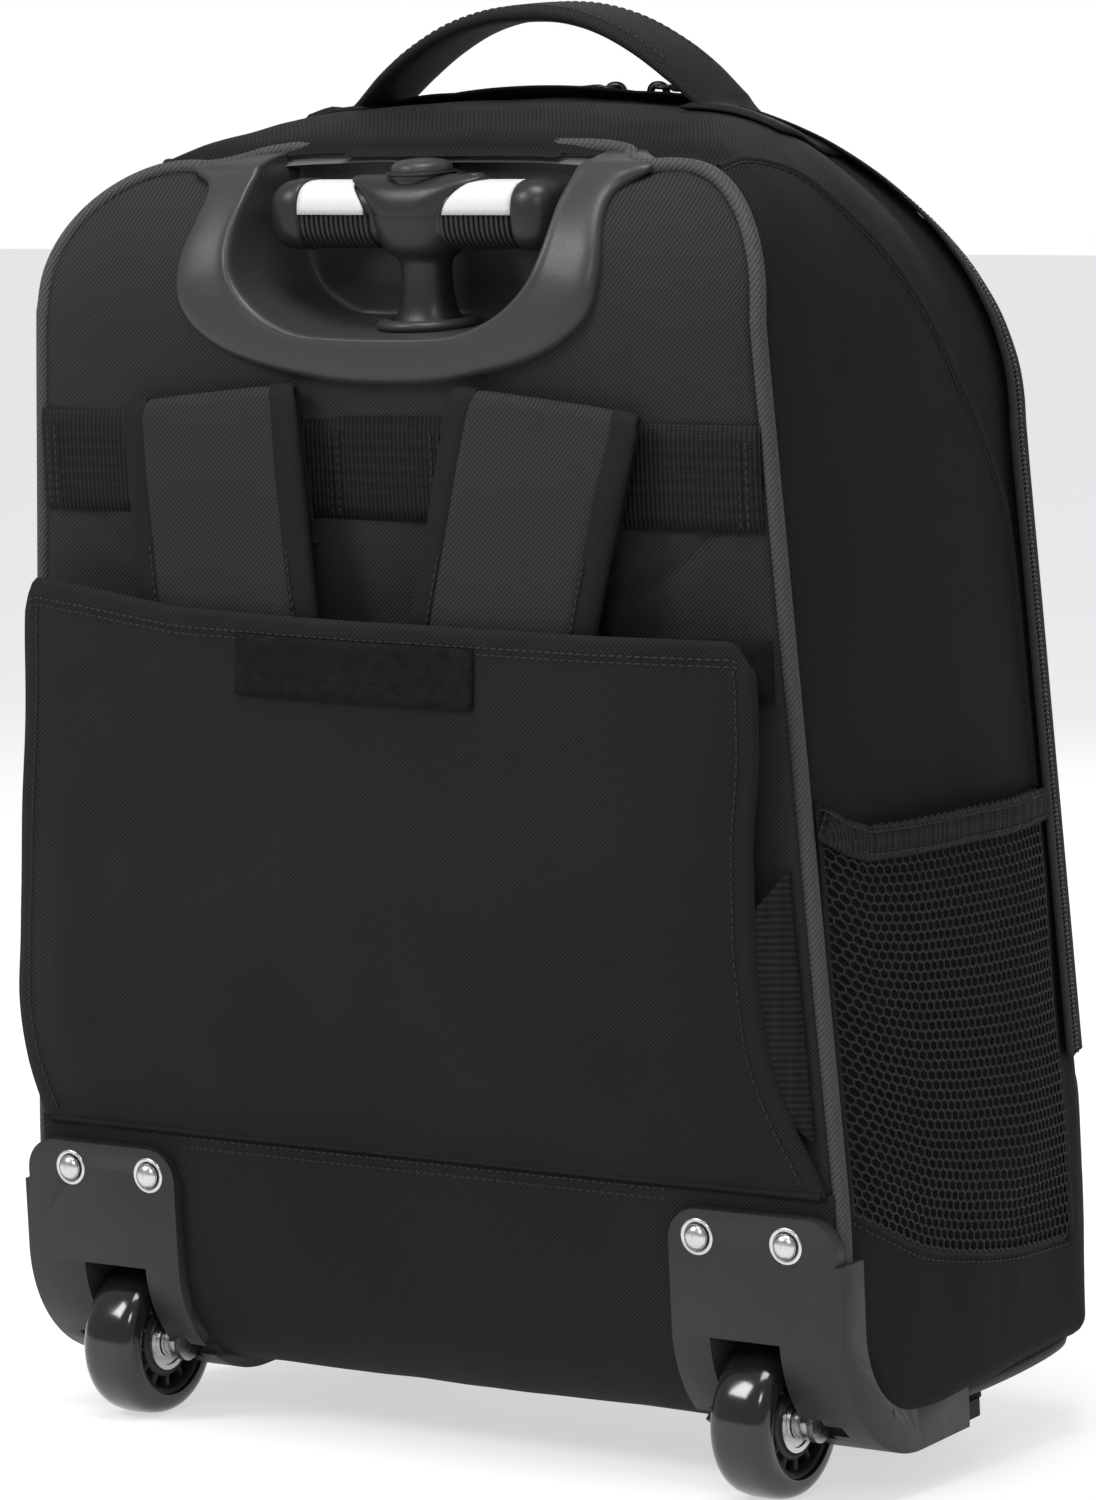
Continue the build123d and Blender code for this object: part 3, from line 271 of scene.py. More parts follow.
def strap_section(width, thickness):
    """A flat strap's section with rounded edges."""
    half, t = width / 2, thickness / 2
    across = np.linspace(-half + t, half - t, 10)
    top = np.stack([across, np.full(10, t)], 1)
    low = np.stack([across[::-1], np.full(10, -t)], 1)
    side = np.array([[half, 0.0]])
    return np.concatenate([top, side, low, -side])


def catmull(a, b, c, d, t):
    """The point at t between b and c on a Catmull-Rom curve."""
    return 0.5 * (2 * b + (c - a) * t + (2 * a - 5 * b + 4 * c - d) * t**2 + (3 * b - a - 3 * c + d) * t**3)


def spline(points, count=60):
    """A Catmull-Rom curve through points, evenly sampled by length."""
    p = np.asarray(points, float)
    p = np.concatenate([2 * p[:1] - p[1:2], p, 2 * p[-1:] - p[-2:-1]])
    t = np.linspace(0, 1, 24, endpoint=False)[:, None]
    fine = [catmull(*four, t) for four in zip(p[:-3], p[1:-2], p[2:-1], p[3:])]
    fine = np.concatenate([*fine, p[-2:-1]])
    gaps = lengths_along(fine)
    return sampled(np.linspace(0, gaps[-1], count), gaps, fine)


def finish_piece(obj, material, body):
    """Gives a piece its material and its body."""
    obj.data.materials.clear()
    obj.data.materials.append(material)
    if body:
        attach(obj, body)
    return obj


def joined(name, objects):
    """Several meshes joined into one object."""
    combined = bmesh.new()
    for o in objects:
        combined.from_mesh(o.data)
        bpy.data.objects.remove(o)
    mesh = bpy.data.meshes.new(name)
    combined.to_mesh(mesh)
    combined.free()
    shade_smooth(mesh)
    return new_object(name, mesh)


def lathe(name, profile, centre, axis="x", sides=96):
    """A profile (along, radius) turned round an axis through centre, in the bag's frame."""
    profile = np.asarray(profile, float)
    turn = np.linspace(0, 2 * math.pi, sides, endpoint=False)
    along = np.repeat(profile[:, :1], sides, 1)
    c = profile[:, 1:] * np.cos(turn)
    s = profile[:, 1:] * np.sin(turn)
    order = {"x": (along, c, s), "y": (c, along, s), "z": (c, s, along)}[axis]
    rings = np.stack(order, -1) + np.asarray(centre, float)
    faces = grid_faces(len(profile), sides, False, True)
    return from_arrays(name, rings.reshape(-1, 3), faces)


def stitches(name, path, normal, pitch=3.2, size=0.55, lift=0.25):
    """A row of short raised threads along a path on a surface."""
    total = lengths_along(np.asarray(path, float))[-1]
    dense = spline(path, max(int(total / 0.8), 8))
    _, out, _ = frames_along(dense, normal)
    gaps = lengths_along(dense)
    pieces_p, pieces_f = [], []
    ring = round_section(size, 6)
    for start in np.arange(0, total - pitch, pitch):
        at = start + np.array([0, 0.12, 0.5, 0.88, 1]) * pitch * 0.72
        centre, o = sampled(at, gaps, dense), sampled(at, gaps, out)
        t = centre[-1] - centre[0]
        t = t / np.linalg.norm(t)
        a = np.cross(t, o)
        fat = np.array([0.3, 0.8, 1, 0.8, 0.3])[:, None, None]
        rings = (
            centre[:, None]
            + o[:, None] * (lift * fat + ring[None, :, 1:] * 0.6 * fat)
            + a[:, None] * ring[None, :, :1] * fat
        )
        offset = len(pieces_p) * 30
        pieces_p.append(rings.reshape(-1, 3))
        pieces_f += grid_faces(5, 6, False, True, offset)
    return from_arrays(name, np.concatenate(pieces_p), pieces_f)


def sew(name, path, normal, pitch, size, lift, body="bag"):
    """A row of stitches in thread, on its body; without a body it is left unattached."""
    return finish_piece(stitches(name, path, normal, pitch, size, lift), M["thread"], body)


# ---------------------------------------------------------------- materials
def add_node(tree, kind, values=None, **links):
    """A shader node with its settings, inputs and incoming links."""
    node = tree.nodes.new("ShaderNode" + kind)
    for key, value in (values or {}).items():
        if isinstance(key, str) and hasattr(node, key):
            setattr(node, key, value)
        else:
            node.inputs[key].default_value = value
    for key, source in links.items():
        socket = node.inputs[int(key[1:])] if key[0] == "i" and key[1:].isdigit() else node.inputs[key]
        tree.links.new(source, socket)
    return node


def maths(tree, operation, a, b=0.0):
    """One Math node; a and b are sockets or numbers."""
    node = tree.nodes.new("ShaderNodeMath")
    node.operation = operation
    for socket, value in zip(node.inputs, (a, b)):
        if isinstance(value, (int, float)):
            socket.default_value = value
        else:
            tree.links.new(value, socket)
    return node.outputs[0]


def weighted(tree, *terms):
    """The sum of (value, weight) pairs."""
    total = None
    for value, weight in terms:
        part = maths(tree, "MULTIPLY", value, weight)
        total = part if total is None else maths(tree, "ADD", total, part)
    return total


def ramp(tree, source, stops):
    """A colour ramp over a value; stops are (place, grey or colour)."""
    node = tree.nodes.new("ShaderNodeValToRGB")
    tree.links.new(source, node.inputs[0])
    elements = node.color_ramp.elements
    while len(elements) < len(stops):
        elements.new(0.5)
    for element, (at, colour) in zip(elements, stops):
        element.position = at
        grey = isinstance(colour, (int, float))
        element.color = (colour, colour, colour, 1) if grey else (*colour, 1)
    return node.outputs[0]


def start_material(name, roughness, **sockets):
    """A material with a Principled shader whose constants are set on its own sockets."""
    material = bpy.data.materials.new(name)
    material.use_nodes = True
    tree = material.node_tree
    shader = tree.nodes["Principled BSDF"]
    shader.inputs["Roughness"].default_value = roughness
    for key, value in sockets.items():
        shader.inputs[key.replace("_", " ")].default_value = value
    return material, tree, shader


def object_coords(tree):
    """Rest-space position in metres."""
    return tree.nodes.new("ShaderNodeTexCoord").outputs["Object"]


def noise_of(tree, coords, scale, detail=3.0, rough=0.55):
    """A noise value around 0.5."""
    values = {"Scale": scale, "Detail": detail, "Roughness": rough}
    return add_node(tree, "TexNoise", values, Vector=coords).outputs["Fac"]


def stripes(tree, coords, direction, period, wobble=None, amount=0.0):
    """A sine from 0 to 1 across the given direction, with a wobble in its phase."""
    dot = tree.nodes.new("ShaderNodeVectorMath")
    dot.operation = "DOT_PRODUCT"
    tree.links.new(coords, dot.inputs[0])
    dot.inputs[1].default_value = Vector(direction).normalized()
    phase = maths(tree, "MULTIPLY", dot.outputs["Value"], 2 * math.pi / period)
    if wobble is not None:
        phase = maths(tree, "ADD", phase, maths(tree, "MULTIPLY", wobble, amount))
    wave = maths(tree, "SINE", phase)
    return maths(tree, "ADD", maths(tree, "MULTIPLY", wave, 0.5), 0.5)


def tint(tree, shader, value, dark, light, low=0.2, high=0.85):
    """Base colour from dark to light over a value."""
    colour = ramp(tree, value, [(low, dark), (high, light)])
    tree.links.new(colour, shader.inputs["Base Color"])


def bump(tree, shader, height, distance, strength=1.0):
    """Bump from a height in metres scale."""
    values = {"Strength": strength, "Distance": distance}
    node = add_node(tree, "Bump", values, Height=height)
    tree.links.new(node.outputs[0], shader.inputs["Normal"])


def scaled(colour, factor):
    """A colour made lighter or darker."""
    return tuple(c * factor for c in colour)


def twill(name, colour, period=0.00105, contrast=0.6, sheen=0.006, roughness=0.75, depth=0.00022):
    """A heavy polyester twill: diagonal ribs broken by the weft, fuzz, and faint handling marks."""
    material, tree, shader = start_material(
        name, roughness, Sheen_Weight=sheen, Sheen_Roughness=0.5, Specular_IOR_Level=0.08
    )
    coords = object_coords(tree)
    drift = noise_of(tree, coords, 60, 2)
    ribs = stripes(tree, coords, (1, 1, -1), period, drift, 3.0)
    floats = stripes(tree, coords, (1, -1, 1), period * 0.62, drift, 2.0)
    fuzz = noise_of(tree, coords, 2600, 2)
    height = weighted(tree, (ribs, 0.62), (floats, 0.2), (fuzz, 0.36))
    worn = weighted(tree, (height, 0.8), (noise_of(tree, coords, 9, 4), 0.35))
    tint(tree, shader, worn, scaled(colour, 1 - contrast), scaled(colour, 1 + contrast), 0.25, 1.0)
    bump(tree, shader, height, depth, 0.9)
    return material


def ribbed_webbing(name, colour, rib=0.0026, cross=0.0011, along=(1, 0, 0), over=(0, 0.1, 1)):
    """Woven webbing: raised ribs that repeat along one direction, with a fine pick over the other."""
    material, tree, shader = start_material(name, 0.65, Sheen_Weight=0.005, Specular_IOR_Level=0.08)
    coords = object_coords(tree)
    drift = noise_of(tree, coords, 80, 2)
    ribs = stripes(tree, coords, along, rib, drift, 1.2)
    picks = stripes(tree, coords, over, cross * 4, drift, 1.0)
    fine = stripes(tree, coords, over, cross, drift, 1.0)
    fuzz = noise_of(tree, coords, 2400, 2)
    height = weighted(tree, (ribs, 0.6), (fine, 0.2), (picks, 0.16), (fuzz, 0.2))
    tint(tree, shader, height, scaled(colour, 0.45), scaled(colour, 1.6), 0.2, 1.0)
    bump(tree, shader, height, 0.0004)
    return material


def moulded(name, colour, roughness, grain=900.0, depth=0.00006, coat=0.0, variation=0.12):
    """Moulded plastic or rubber: a fine grain, slightly uneven gloss and soft scuffs."""
    material, tree, shader = start_material(
        name, roughness, Coat_Weight=coat, Coat_Roughness=0.12, Specular_IOR_Level=0.3
    )
    coords = object_coords(tree)
    speckle = noise_of(tree, coords, grain, 2)
    cloud = noise_of(tree, coords, 22, 4)
    scuff = noise_of(tree, coords, 160, 5, 0.7)
    tint(tree, shader, cloud, scaled(colour, 1 - variation), scaled(colour, 1 + variation))
    gloss = maths(tree, "ADD", maths(tree, "MULTIPLY", scuff, 0.16), roughness - 0.08)
    tree.links.new(gloss, shader.inputs["Roughness"])
    bump(tree, shader, speckle, depth)
    return material


BRUSH_PITCH = 0.0004


def metal(name, colour, roughness, brushed=None):
    """Bare or coated metal, brushed along a direction where one is given."""
    material, tree, shader = start_material(name, roughness, Metallic=1.0)
    coords = object_coords(tree)
    cloud = noise_of(tree, coords, 35, 4)
    scratch = noise_of(tree, coords, 700, 3)
    if brushed is not None:
        scratch = stripes(tree, coords, brushed, BRUSH_PITCH, noise_of(tree, coords, 900, 3), 9.0)
    tint(tree, shader, cloud, scaled(colour, 0.9), scaled(colour, 1.06))
    gloss = maths(tree, "ADD", maths(tree, "MULTIPLY", scratch, 0.1), roughness - 0.05)
    tree.links.new(gloss, shader.inputs["Roughness"])
    bump(tree, shader, scratch, 0.000005, 0.5)
    return material


def pile(name, colour):
    """Hook-and-loop pile: dense short nap in clumps."""
    material, tree, shader = start_material(
        name, 0.95, Sheen_Weight=0.01, Sheen_Roughness=0.6, Specular_IOR_Level=0.05
    )
    coords = object_coords(tree)
    tuft = noise_of(tree, coords, 1500, 4, 0.75)
    clump = noise_of(tree, coords, 260, 3)
    height = weighted(tree, (tuft, 0.7), (clump, 0.5))
    tint(tree, shader, height, scaled(colour, 0.3), scaled(colour, 2.2), 0.35, 0.85)
    bump(tree, shader, height, 0.0011)
    return material


BLACK = (0.0125, 0.0125, 0.0128)
M = {
    # painted shade: the body shell and lid use the black twill darkened to 0.72, standing in for the shade on
    # the bag's sides
    "shell_fabric_painted_shade": twill("shell_twill_painted_shade", scaled(BLACK, 0.72)),
    # painted light: the back panel and shoulder straps use the black twill lightened to 1.65, standing in for
    # the light falling on them
    "panel_fabric_painted_light": twill("panel_twill_painted_light", scaled(BLACK, 1.65)),
    "black_fabric": twill("black_twill", BLACK),
    "smooth_fabric": twill("black_twill_fine", scaled(BLACK, 0.85), 0.00105, 0.4, 0.004, 0.8, 0.0001),
    "grey_fabric": twill("grey_twill", (0.12, 0.122, 0.126), 0.00105, 0.4, 0.01),
    "binding": twill("binding_tape", scaled(BLACK, 0.8), 0.0009, 0.5, 0.005, 0.7, 0.00015),
    "webbing": ribbed_webbing("webbing", scaled(BLACK, 0.85), 0.0019),
    "lining": twill("lining_cloth", (0.085, 0.088, 0.094), 0.0007, 0.25, 0.05, 0.6, 0.00006),
    "hook_and_loop": pile("hook_and_loop", scaled(BLACK, 0.62)),
    "piping": twill("piping_tape", (0.05, 0.05, 0.052), 0.0013, 0.4, 0.01, 0.5, 0.0003),
    "thread": moulded("thread", scaled(BLACK, 0.9), 0.6, 1500, 0.00005),
    "mesh": moulded("mesh_yarn", (0.006, 0.006, 0.0062), 0.6, 1800, 0.0001),
    "elastic": ribbed_webbing("elastic", (0.014, 0.014, 0.0145), 0.0016, 0.0013, (0, 1, 0), (0, 0, 1)),
    "gusset": ribbed_webbing("gusset_elastic", (0.011, 0.011, 0.0115), 0.0024, 0.0014, (0, 0, 1), (1, 1, 0)),
    "cup_plastic": moulded("cup_plastic", (0.030, 0.032, 0.0345), 0.38, 1100, 0.00005),
    "housing_plastic": moulded("housing_plastic", (0.022, 0.022, 0.0225), 0.5, 1300, 0.00009),
    "hub_plastic": moulded("hub_plastic", (0.012, 0.012, 0.0125), 0.45, 1000, 0.00006),
    "grip_plastic": moulded("grip_plastic", (0.016, 0.0165, 0.0175), 0.36, 1000, 0.00005),
    "tyre": moulded("urethane", (0.008, 0.008, 0.0085), 0.16, 500, 0.00002, 0.6),
    "rubber": moulded("rubber", (0.012, 0.012, 0.012), 0.75, 800, 0.0001),
    "board": moulded("board", (0.06, 0.055, 0.05), 0.7, 500, 0.0001),
    "steel": metal("steel", (0.62, 0.62, 0.63), 0.28),
    "tube_metal": metal("drawn_tube", (0.42, 0.43, 0.45), 0.3, (1, 0.3, 0)),
    "inlay": moulded("silver_inlay", (0.56, 0.56, 0.565), 0.5, 1500, 0.00002, 0.0, 0.04),
    "zip_metal": metal("blackened_zip", (0.07, 0.07, 0.075), 0.35),
    "zip_coil": moulded("zip_coil", (0.012, 0.012, 0.013), 0.4, 1500, 0.00005),
    "pull_rubber": moulded("pull_rubber", (0.03, 0.03, 0.031), 0.6, 1200, 0.0001),
}

# ---------------------------------------------------------------- the bag's body
LID_Z = 131.0
SIDE_STEPS = {"base": 9, "toe": 6, "low": 9, "high": 26, "shoulder": 20, "crown": 18}


def rear_line(z):
    """y of the shell's rear edge: the bottom bend, the straight back and the curl at the top."""
    z = np.asarray(z, float)
    bend = REAR_Y + 44 - np.sqrt(np.maximum(38.6**2 - np.minimum(z - 64, 0) ** 2, 0))
    return np.where(z < 64, bend, rear_face(z) + 5.4)


def zip_line(z):
    """y of the main zip: straight up the sides, then back over the top."""
    z = np.asarray(z, float)
    return np.interp(z, [380, 400, 420, 436, 452, 466, 478, 486], [160, 156.5, 150, 143, 134, 124, 113, 105])


def front_line(z):
    """y of the front panel's seam."""
    z = np.asarray(z, float)
    high = np.interp(z, [385, 410, 430, 448, 462, 475], [169, 165, 158, 149, 139, 127])
    low = np.interp(z, [26, 34, 44, 60], [148, 160, 166, 169])
    return np.minimum(high, low)


TOE_R = 7.0


def loop(y_of, out, top, corner, low=BOTTOM_Z + 5.4):
    """One closed loop round the body, from the middle of its base, up the right and back down."""
    n = SIDE_STEPS
    turn_z = top - corner
    edge = lambda z: half_width(z) + out
    base = np.linspace(0, edge(low) - TOE_R, n["base"], endpoint=False)
    part_a = np.stack([base, np.full_like(base, low)], 1)
    toe_turn = np.linspace(-math.pi / 2, 0, n["toe"], endpoint=False)
    part_b = np.stack([edge(low) - TOE_R + TOE_R * np.cos(toe_turn),
                       low + TOE_R + TOE_R * np.sin(toe_turn)], 1)
    z_low = np.linspace(low + TOE_R, LID_Z, n["low"], endpoint=False)
    z_high = np.linspace(LID_Z, turn_z, n["high"], endpoint=False)
    part_c = np.stack([edge(z_low), z_low], 1)
    part_d = np.stack([edge(z_high), z_high], 1)
    arch = np.linspace(0, math.pi / 2, n["shoulder"], endpoint=False)
    fat = 0.94
    part_e = np.stack(
        [edge(turn_z) - corner + corner * np.cos(arch) ** fat, turn_z + corner * np.sin(arch) ** fat], 1
    )
    crown = np.linspace(edge(turn_z) - corner, 0, n["crown"])
    part_f = np.stack([crown, top + 2.5 * (1 - (crown / crown[0]) ** 2)], 1)
    right = np.concatenate([part_a, part_b, part_c, part_d, part_e, part_f])
    both = np.concatenate([right, right[-2:0:-1] * (-1, 1)])
    return np.stack([both[:, 0], y_of(both[:, 1]), both[:, 1]], 1)


LID_COLUMN = SIDE_STEPS["base"] + SIDE_STEPS["toe"] + SIDE_STEPS["low"]
SHELL_LOOPS = [
    loop(rear_line, -3.0, 465.5, 48),
    loop(lambda z: rear_line(z) + 4, 0.5, 469, 49),
    loop(lambda z: np.interp(z, [64, 420, 476], [14, 16, 38]), 3.2, 475, 62),
    loop(lambda z: np.interp(z, [64, 400, 482], [52, 54, 64]), 4.6, 481, 82),
    loop(lambda z: np.interp(z, [64, 380, 486], [104, 104, 86]), 4.2, 483.5, 98),
    loop(lambda z: np.interp(z, [64, 380, 486], [140, 140, 98]), 1.0, 483.5, 112),
    loop(zip_line, -1.0, 482, 120),
    loop(front_line, -9.0, 466, 118, 30.0),
]
ZIP_ROW = 6


def loft(loops, steps):
    """A smooth grid through loops, with the given steps between each pair."""
    stack = np.array(loops)
    padded = np.concatenate([2 * stack[:1] - stack[1:2], stack, 2 * stack[-1:] - stack[-2:-1]])
    rows = []
    for k, count in enumerate(steps):
        a, b, c, d = padded[k : k + 4]
        for t in np.linspace(0, 1, count, endpoint=False):
            rows.append(catmull(a, b, c, d, t))
    rows.append(stack[-1])
    return np.array(rows)


STEPS = [3, 4, 8, 9, 8, 5, 6]
body_grid = loft(SHELL_LOOPS, STEPS)
ZIP_AT = sum(STEPS[:ZIP_ROW])


def crease(points, size=1.6, seed=0.0):
    """Soft low swells in a cloth surface, as a height per point."""
    return np.array([
        size * noise.noise(Vector((p[0] / 70 + seed, p[1] / 55, p[2] / 95)))
        + size * 0.45 * noise.noise(Vector((p[0] / 26, p[1] / 22 + seed, p[2] / 40)))
        for p in np.asarray(points, float).reshape(-1, 3)
    ])


def grid_normals(points):
    """Unit normals of a grid, wrapping round its columns."""
    du = np.gradient(points, axis=0)
    dv = (np.roll(points, -1, 1) - np.roll(points, 1, 1)) / 2
    n = np.cross(dv, du)
    return n / np.maximum(np.linalg.norm(n, axis=-1), 1e-9)[..., None]


body_normals = grid_normals(body_grid)
outward = np.sign((body_normals * (body_grid - np.array([0, 60, 250]))).sum(-1).mean())
body_normals *= outward
swell = crease(body_grid).reshape(body_grid.shape[:2])
calm = np.ones(body_grid.shape[0])
calm[:2] = calm[ZIP_AT - 1 : ZIP_AT + 2] = 0.15
body_grid = body_grid + body_normals * (swell * calm[:, None])[..., None]
columns = body_grid.shape[1]


def shell_piece(name, grids, thickness, material, lining, body):
    """Joined cloth grids, thickened inward, with the lining's material on the inner face."""
    parts = []
    for index, (grid, wrap) in enumerate(grids):
        parts.append(surface(f"{name}_{index}", grid, 0, wrap))
    obj = joined(name, parts)
    weld = obj.modifiers.new("weld", "WELD")
    weld.merge_threshold = 0.0002
    apply_modifiers(obj)
    middle = Vector(to_row((0, 80, 240)))
    with mesh_edit(obj.data) as data:
        bmesh.ops.recalc_face_normals(data, faces=data.faces)
        if sum((f.calc_center_median() - middle).dot(f.normal) for f in data.faces) < 0:
            bmesh.ops.reverse_faces(data, faces=data.faces)
    solid = obj.modifiers.new("thick", "SOLIDIFY")
    solid.thickness = thickness / 1000
    solid.offset = -1
    solid.material_offset = 1
    solid.material_offset_rim = 0
    obj.data.materials.append(material)
    obj.data.materials.append(lining)
    apply_modifiers(obj)
    shade_smooth(obj.data)
    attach(obj, body)
    return obj


right_end = columns - LID_COLUMN
low_columns = list(range(right_end, columns)) + list(range(0, LID_COLUMN + 1))
lid_columns = list(range(LID_COLUMN, right_end + 1))
shell_grid = body_grid[: ZIP_AT + 1]
toe_grid = body_grid[ZIP_AT:, low_columns]
seam_low = body_grid[-1][low_columns]


def front_panel_low():
    """The fixed front wall below the lid."""
    half = len(seam_low) // 2
    left, right = seam_low[: half + 1], seam_low[half:][::-1]
    steps = np.linspace(0, 1, 15)[None, :, None]
    grid = left[:, None] * (1 - steps) + right[:, None] * steps
    grid[..., 1] += 2.5 * np.sin(math.pi * steps[..., 0])
    return grid


def front_panel_high():
    """The lid's front face: rings from the seam in to the middle, gently domed."""
    arch = body_grid[-1][lid_columns]
    count = 26
    base_x = np.linspace(arch[-1, 0], arch[0, 0], count)[1:-1]
    base = np.stack([base_x, np.full(count - 2, arch[0, 1]), np.full(count - 2, LID_Z)], 1)
    rim = np.concatenate([arch, base])
    middle = np.array([0, arch[0, 1], 280.0])
    rings = []
    for s in (1, 0.975, 0.93, 0.86, 0.76, 0.64, 0.5, 0.36, 0.22, 0.1, 0.0004):
        ring = middle + (rim - middle) * s
        lean = front_line(ring[:, 2])
        ring[:, 1] = np.minimum(lean, 171) + 7.5 * (1 - s**3)
        ring[:, 1] = ring[:, 1] * (1 - s**14) + rim[:, 1] * s**14
        rings.append(ring)
    grid = np.array(rings)
    grid[..., 1] += crease(grid, 1.2, 5.0).reshape(grid.shape[:2]) * np.linspace(0, 1, len(rings))[:, None]
    return grid


main_shell = shell_piece(
    "bag_body", [(shell_grid, True), (toe_grid, False), (front_panel_low(), False)],
    2.4, M["shell_fabric_painted_shade"], M["lining"], "bag",
)
lid_grid = front_panel_high()
front_lid = shell_piece(
    "lid_shell", [(body_grid[ZIP_AT:, lid_columns], False), (lid_grid, True)],
    2.4, M["shell_fabric_painted_shade"], M["lining"], "lid",
)
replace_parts(main_shell, "main_shell")
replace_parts(front_lid, "front_lid")

# ---------------------------------------------------------------- laying things on the bag
body_tree = bvhtree.BVHTree.FromPolygons(
    [Vector(p) for p in body_grid.reshape(-1, 3).tolist()],
    grid_faces(body_grid.shape[0], columns, False, True),
)
AXIS_Z = 300.0


def laid(points):
    """Points moved to the body's surface: the nearest place, and the normals there."""
    spots, normals = [], []
    for p in np.asarray(points, float):
        spot, normal, _, _ = body_tree.find_nearest(Vector(p))
        away = Vector((p[0], 0, p[2] - AXIS_Z))
        if normal.dot(away) < 0:
            normal = -normal
        spots.append(np.array(spot))
        normals.append(np.array(normal))
    return np.array(spots), smoothed(normals)


def smoothed(vectors, rounds=8):
    """Unit vectors evened out along a path."""
    v = np.array(vectors, float)
    for _ in range(rounds):
        v[1:-1] = (v[:-2] + 2 * v[1:-1] + v[2:]) / 4
    return v / np.linalg.norm(v, axis=1)[:, None]


def strip(name, path, normals, width, thickness, steps=8, crown=0.0):
    """A flat ribbon lying on a surface: width across, standing thickness proud."""
    path, normals = np.asarray(path, float), np.asarray(normals, float)
    across = np.cross(tangents_of(path), normals)
    across /= np.linalg.norm(across, axis=1)[:, None]
    s = np.linspace(-1, 1, steps)
    lift = thickness * (1 - np.abs(s) ** 6) + crown * (1 - s**2)
    top = path[:, None] + across[:, None] * (s * width / 2)[None, :, None]
    top = top + normals[:, None] * lift[None, :, None]
    under = top[:, ::-1][:, 1:-1] - normals[:, None] * (lift[::-1][1:-1] + 0.6)[None, :, None]
    ring = np.concatenate([top, under], 1)
    rows, cols = ring.shape[:2]
    faces = grid_faces(rows, cols, False, True) + end_caps(rows, cols)
    return from_arrays(name, ring.reshape(-1, 3), faces)


TAPE_T = 0.4


def zip_run(name, path, normals, bodies, tape=13.0):
    """A zip along a path: two tapes with a stitch row each, and two interlocked rows of coils."""
    path, normals = np.asarray(path, float), np.asarray(normals, float)
    across = np.cross(tangents_of(path), normals)
    gaps = lengths_along(path)
    for sign, body in zip((1, -1), bodies):
        offset = across * sign
        tape_path = path + offset * (tape / 2 + 0.9)
        mark = f"{body}_{'a' if sign > 0 else 'b'}"
        piece = strip(f"{name}_tape_{mark}", tape_path, normals, tape, TAPE_T, 9, 0.8)
        finish_piece(piece, M["binding"], body)
        row = path + offset * (tape - 3) + normals * TAPE_T
        sew(f"{name}_stitch_{mark}", row, normals[0], 3.0, 0.4, 0.1, body)
        turns = max(int(gaps[-1] / 1.7), 4)
        phase = np.linspace(0, turns * 2 * math.pi, turns * 7)
        at = phase / phase[-1] * gaps[-1]
        centre, up, out = (sampled(at, gaps, v) for v in (path, normals, offset))
        coil = centre + out * (1.35 + 1.3 * np.cos(phase + sign))[:, None]
        coil = coil + up * (TAPE_T + 0.25 + 0.5 * np.sin(phase + sign))[:, None]
        teeth = sweep(f"{name}_coil_{mark}", coil, round_section(0.42, 5))
        finish_piece(teeth, M["zip_coil"], body)


WELT_R = 1.5


def seam_welt(name, path, normals, offset):
    """A sewn seam: a low welt and a row of topstitch beside it."""
    path, normals = np.asarray(path, float), np.asarray(normals, float)
    welt = strip(name, path - normals * 0.3, normals, WELT_R * 2.6, 0.1, 7, WELT_R * 0.75)
    finish_piece(welt, M["black_fabric"], "bag")
    row = path + np.cross(tangents_of(path), normals) * offset
    sew(f"{name}_thread_0", row + normals * 0.1, normals[0], 3.4, 0.42, 0.12)


# the main zip, over the top from one side's lid corner to the other
zip_columns = body_grid[ZIP_AT, lid_columns]
zip_out = body_normals[ZIP_AT, lid_columns]
zip_both = spline(np.concatenate([zip_columns, zip_out * 40], 1), 260)
zip_normals = smoothed(zip_both[:, 3:], 12)
zip_spots = zip_both[:, :3] + zip_normals * 0.6
zip_run("main_zip", zip_spots, zip_normals, ("lid", "bag"))

# the seam between each side panel and the top gusset
GUSSET_SEAM = [
    (121, 24, 467), (127, 35, 469), (134, 53, 463), (142, 64, 453), (149, 74, 441), (156, 87, 424),
    (160, 105, 400), (162, 128, 368), (164, 141, 345), (166, 147, 320), (170, 148, 230), (175, 148, 120),
    (176, 148, 72),
]
for side_name, s in (("right", 1), ("left", -1)):
    route = spline(np.array(GUSSET_SEAM) * (s, 1, 1), 160)
    spots, normals = laid(route)
    seam_welt(f"gusset_seam_{side_name}", spots, normals, 3.4 * s)
    low = spline(np.array([(178, -2, 106), (179, 14, 97), (180, 36, 86), (180, 60, 79), (179, 94, 72),
                           (178, 125, 68), (176, 147, 66)]) * (s, 1, 1), 60)
    spots, normals = laid(low)
    seam_welt(f"base_seam_{side_name}", spots, normals, 3.4 * s)

# the seam round the lid's front face
front_seam = spline(body_grid[-1, lid_columns], 220)
front_normals = smoothed(spline(body_normals[-1, lid_columns], 220), 12)
seam_cord = sweep("lid_front_piping", front_seam + front_normals * 1.2, round_section(2.2, 10))
finish_piece(seam_cord, M["piping"], "lid")

# ---------------------------------------------------------------- the back panel
CUP_OUTER = [(0, 392.5), (45, 396.5), (74, 405.5), (86, 415), (90.5, 425), (90, 436), (86, 447), (83, 456)]


def panel_half(z, inset):
    """Half the back panel's width at height z, with its rounded top corners."""
    radius = 47.0
    centre_z = EDGE_TOP - radius
    rise = np.clip(np.asarray(z, float) - centre_z, 0, radius * 0.999)
    side_x = half_width(np.minimum(z, centre_z))
    return side_x - radius + np.sqrt(radius**2 - rise**2) - inset


def panel_point(x, z, out=0.0):
    """A point on the back panel's outer face, lifted out by a few millimetres."""
    slope = np.clip((np.asarray(z, float) - CURL_Z) / CURL_R, 0, 0.99)
    y = rear_face(z) - out * np.sqrt(1 - slope**2)
    return np.stack([x, y, z + out * slope], -1)


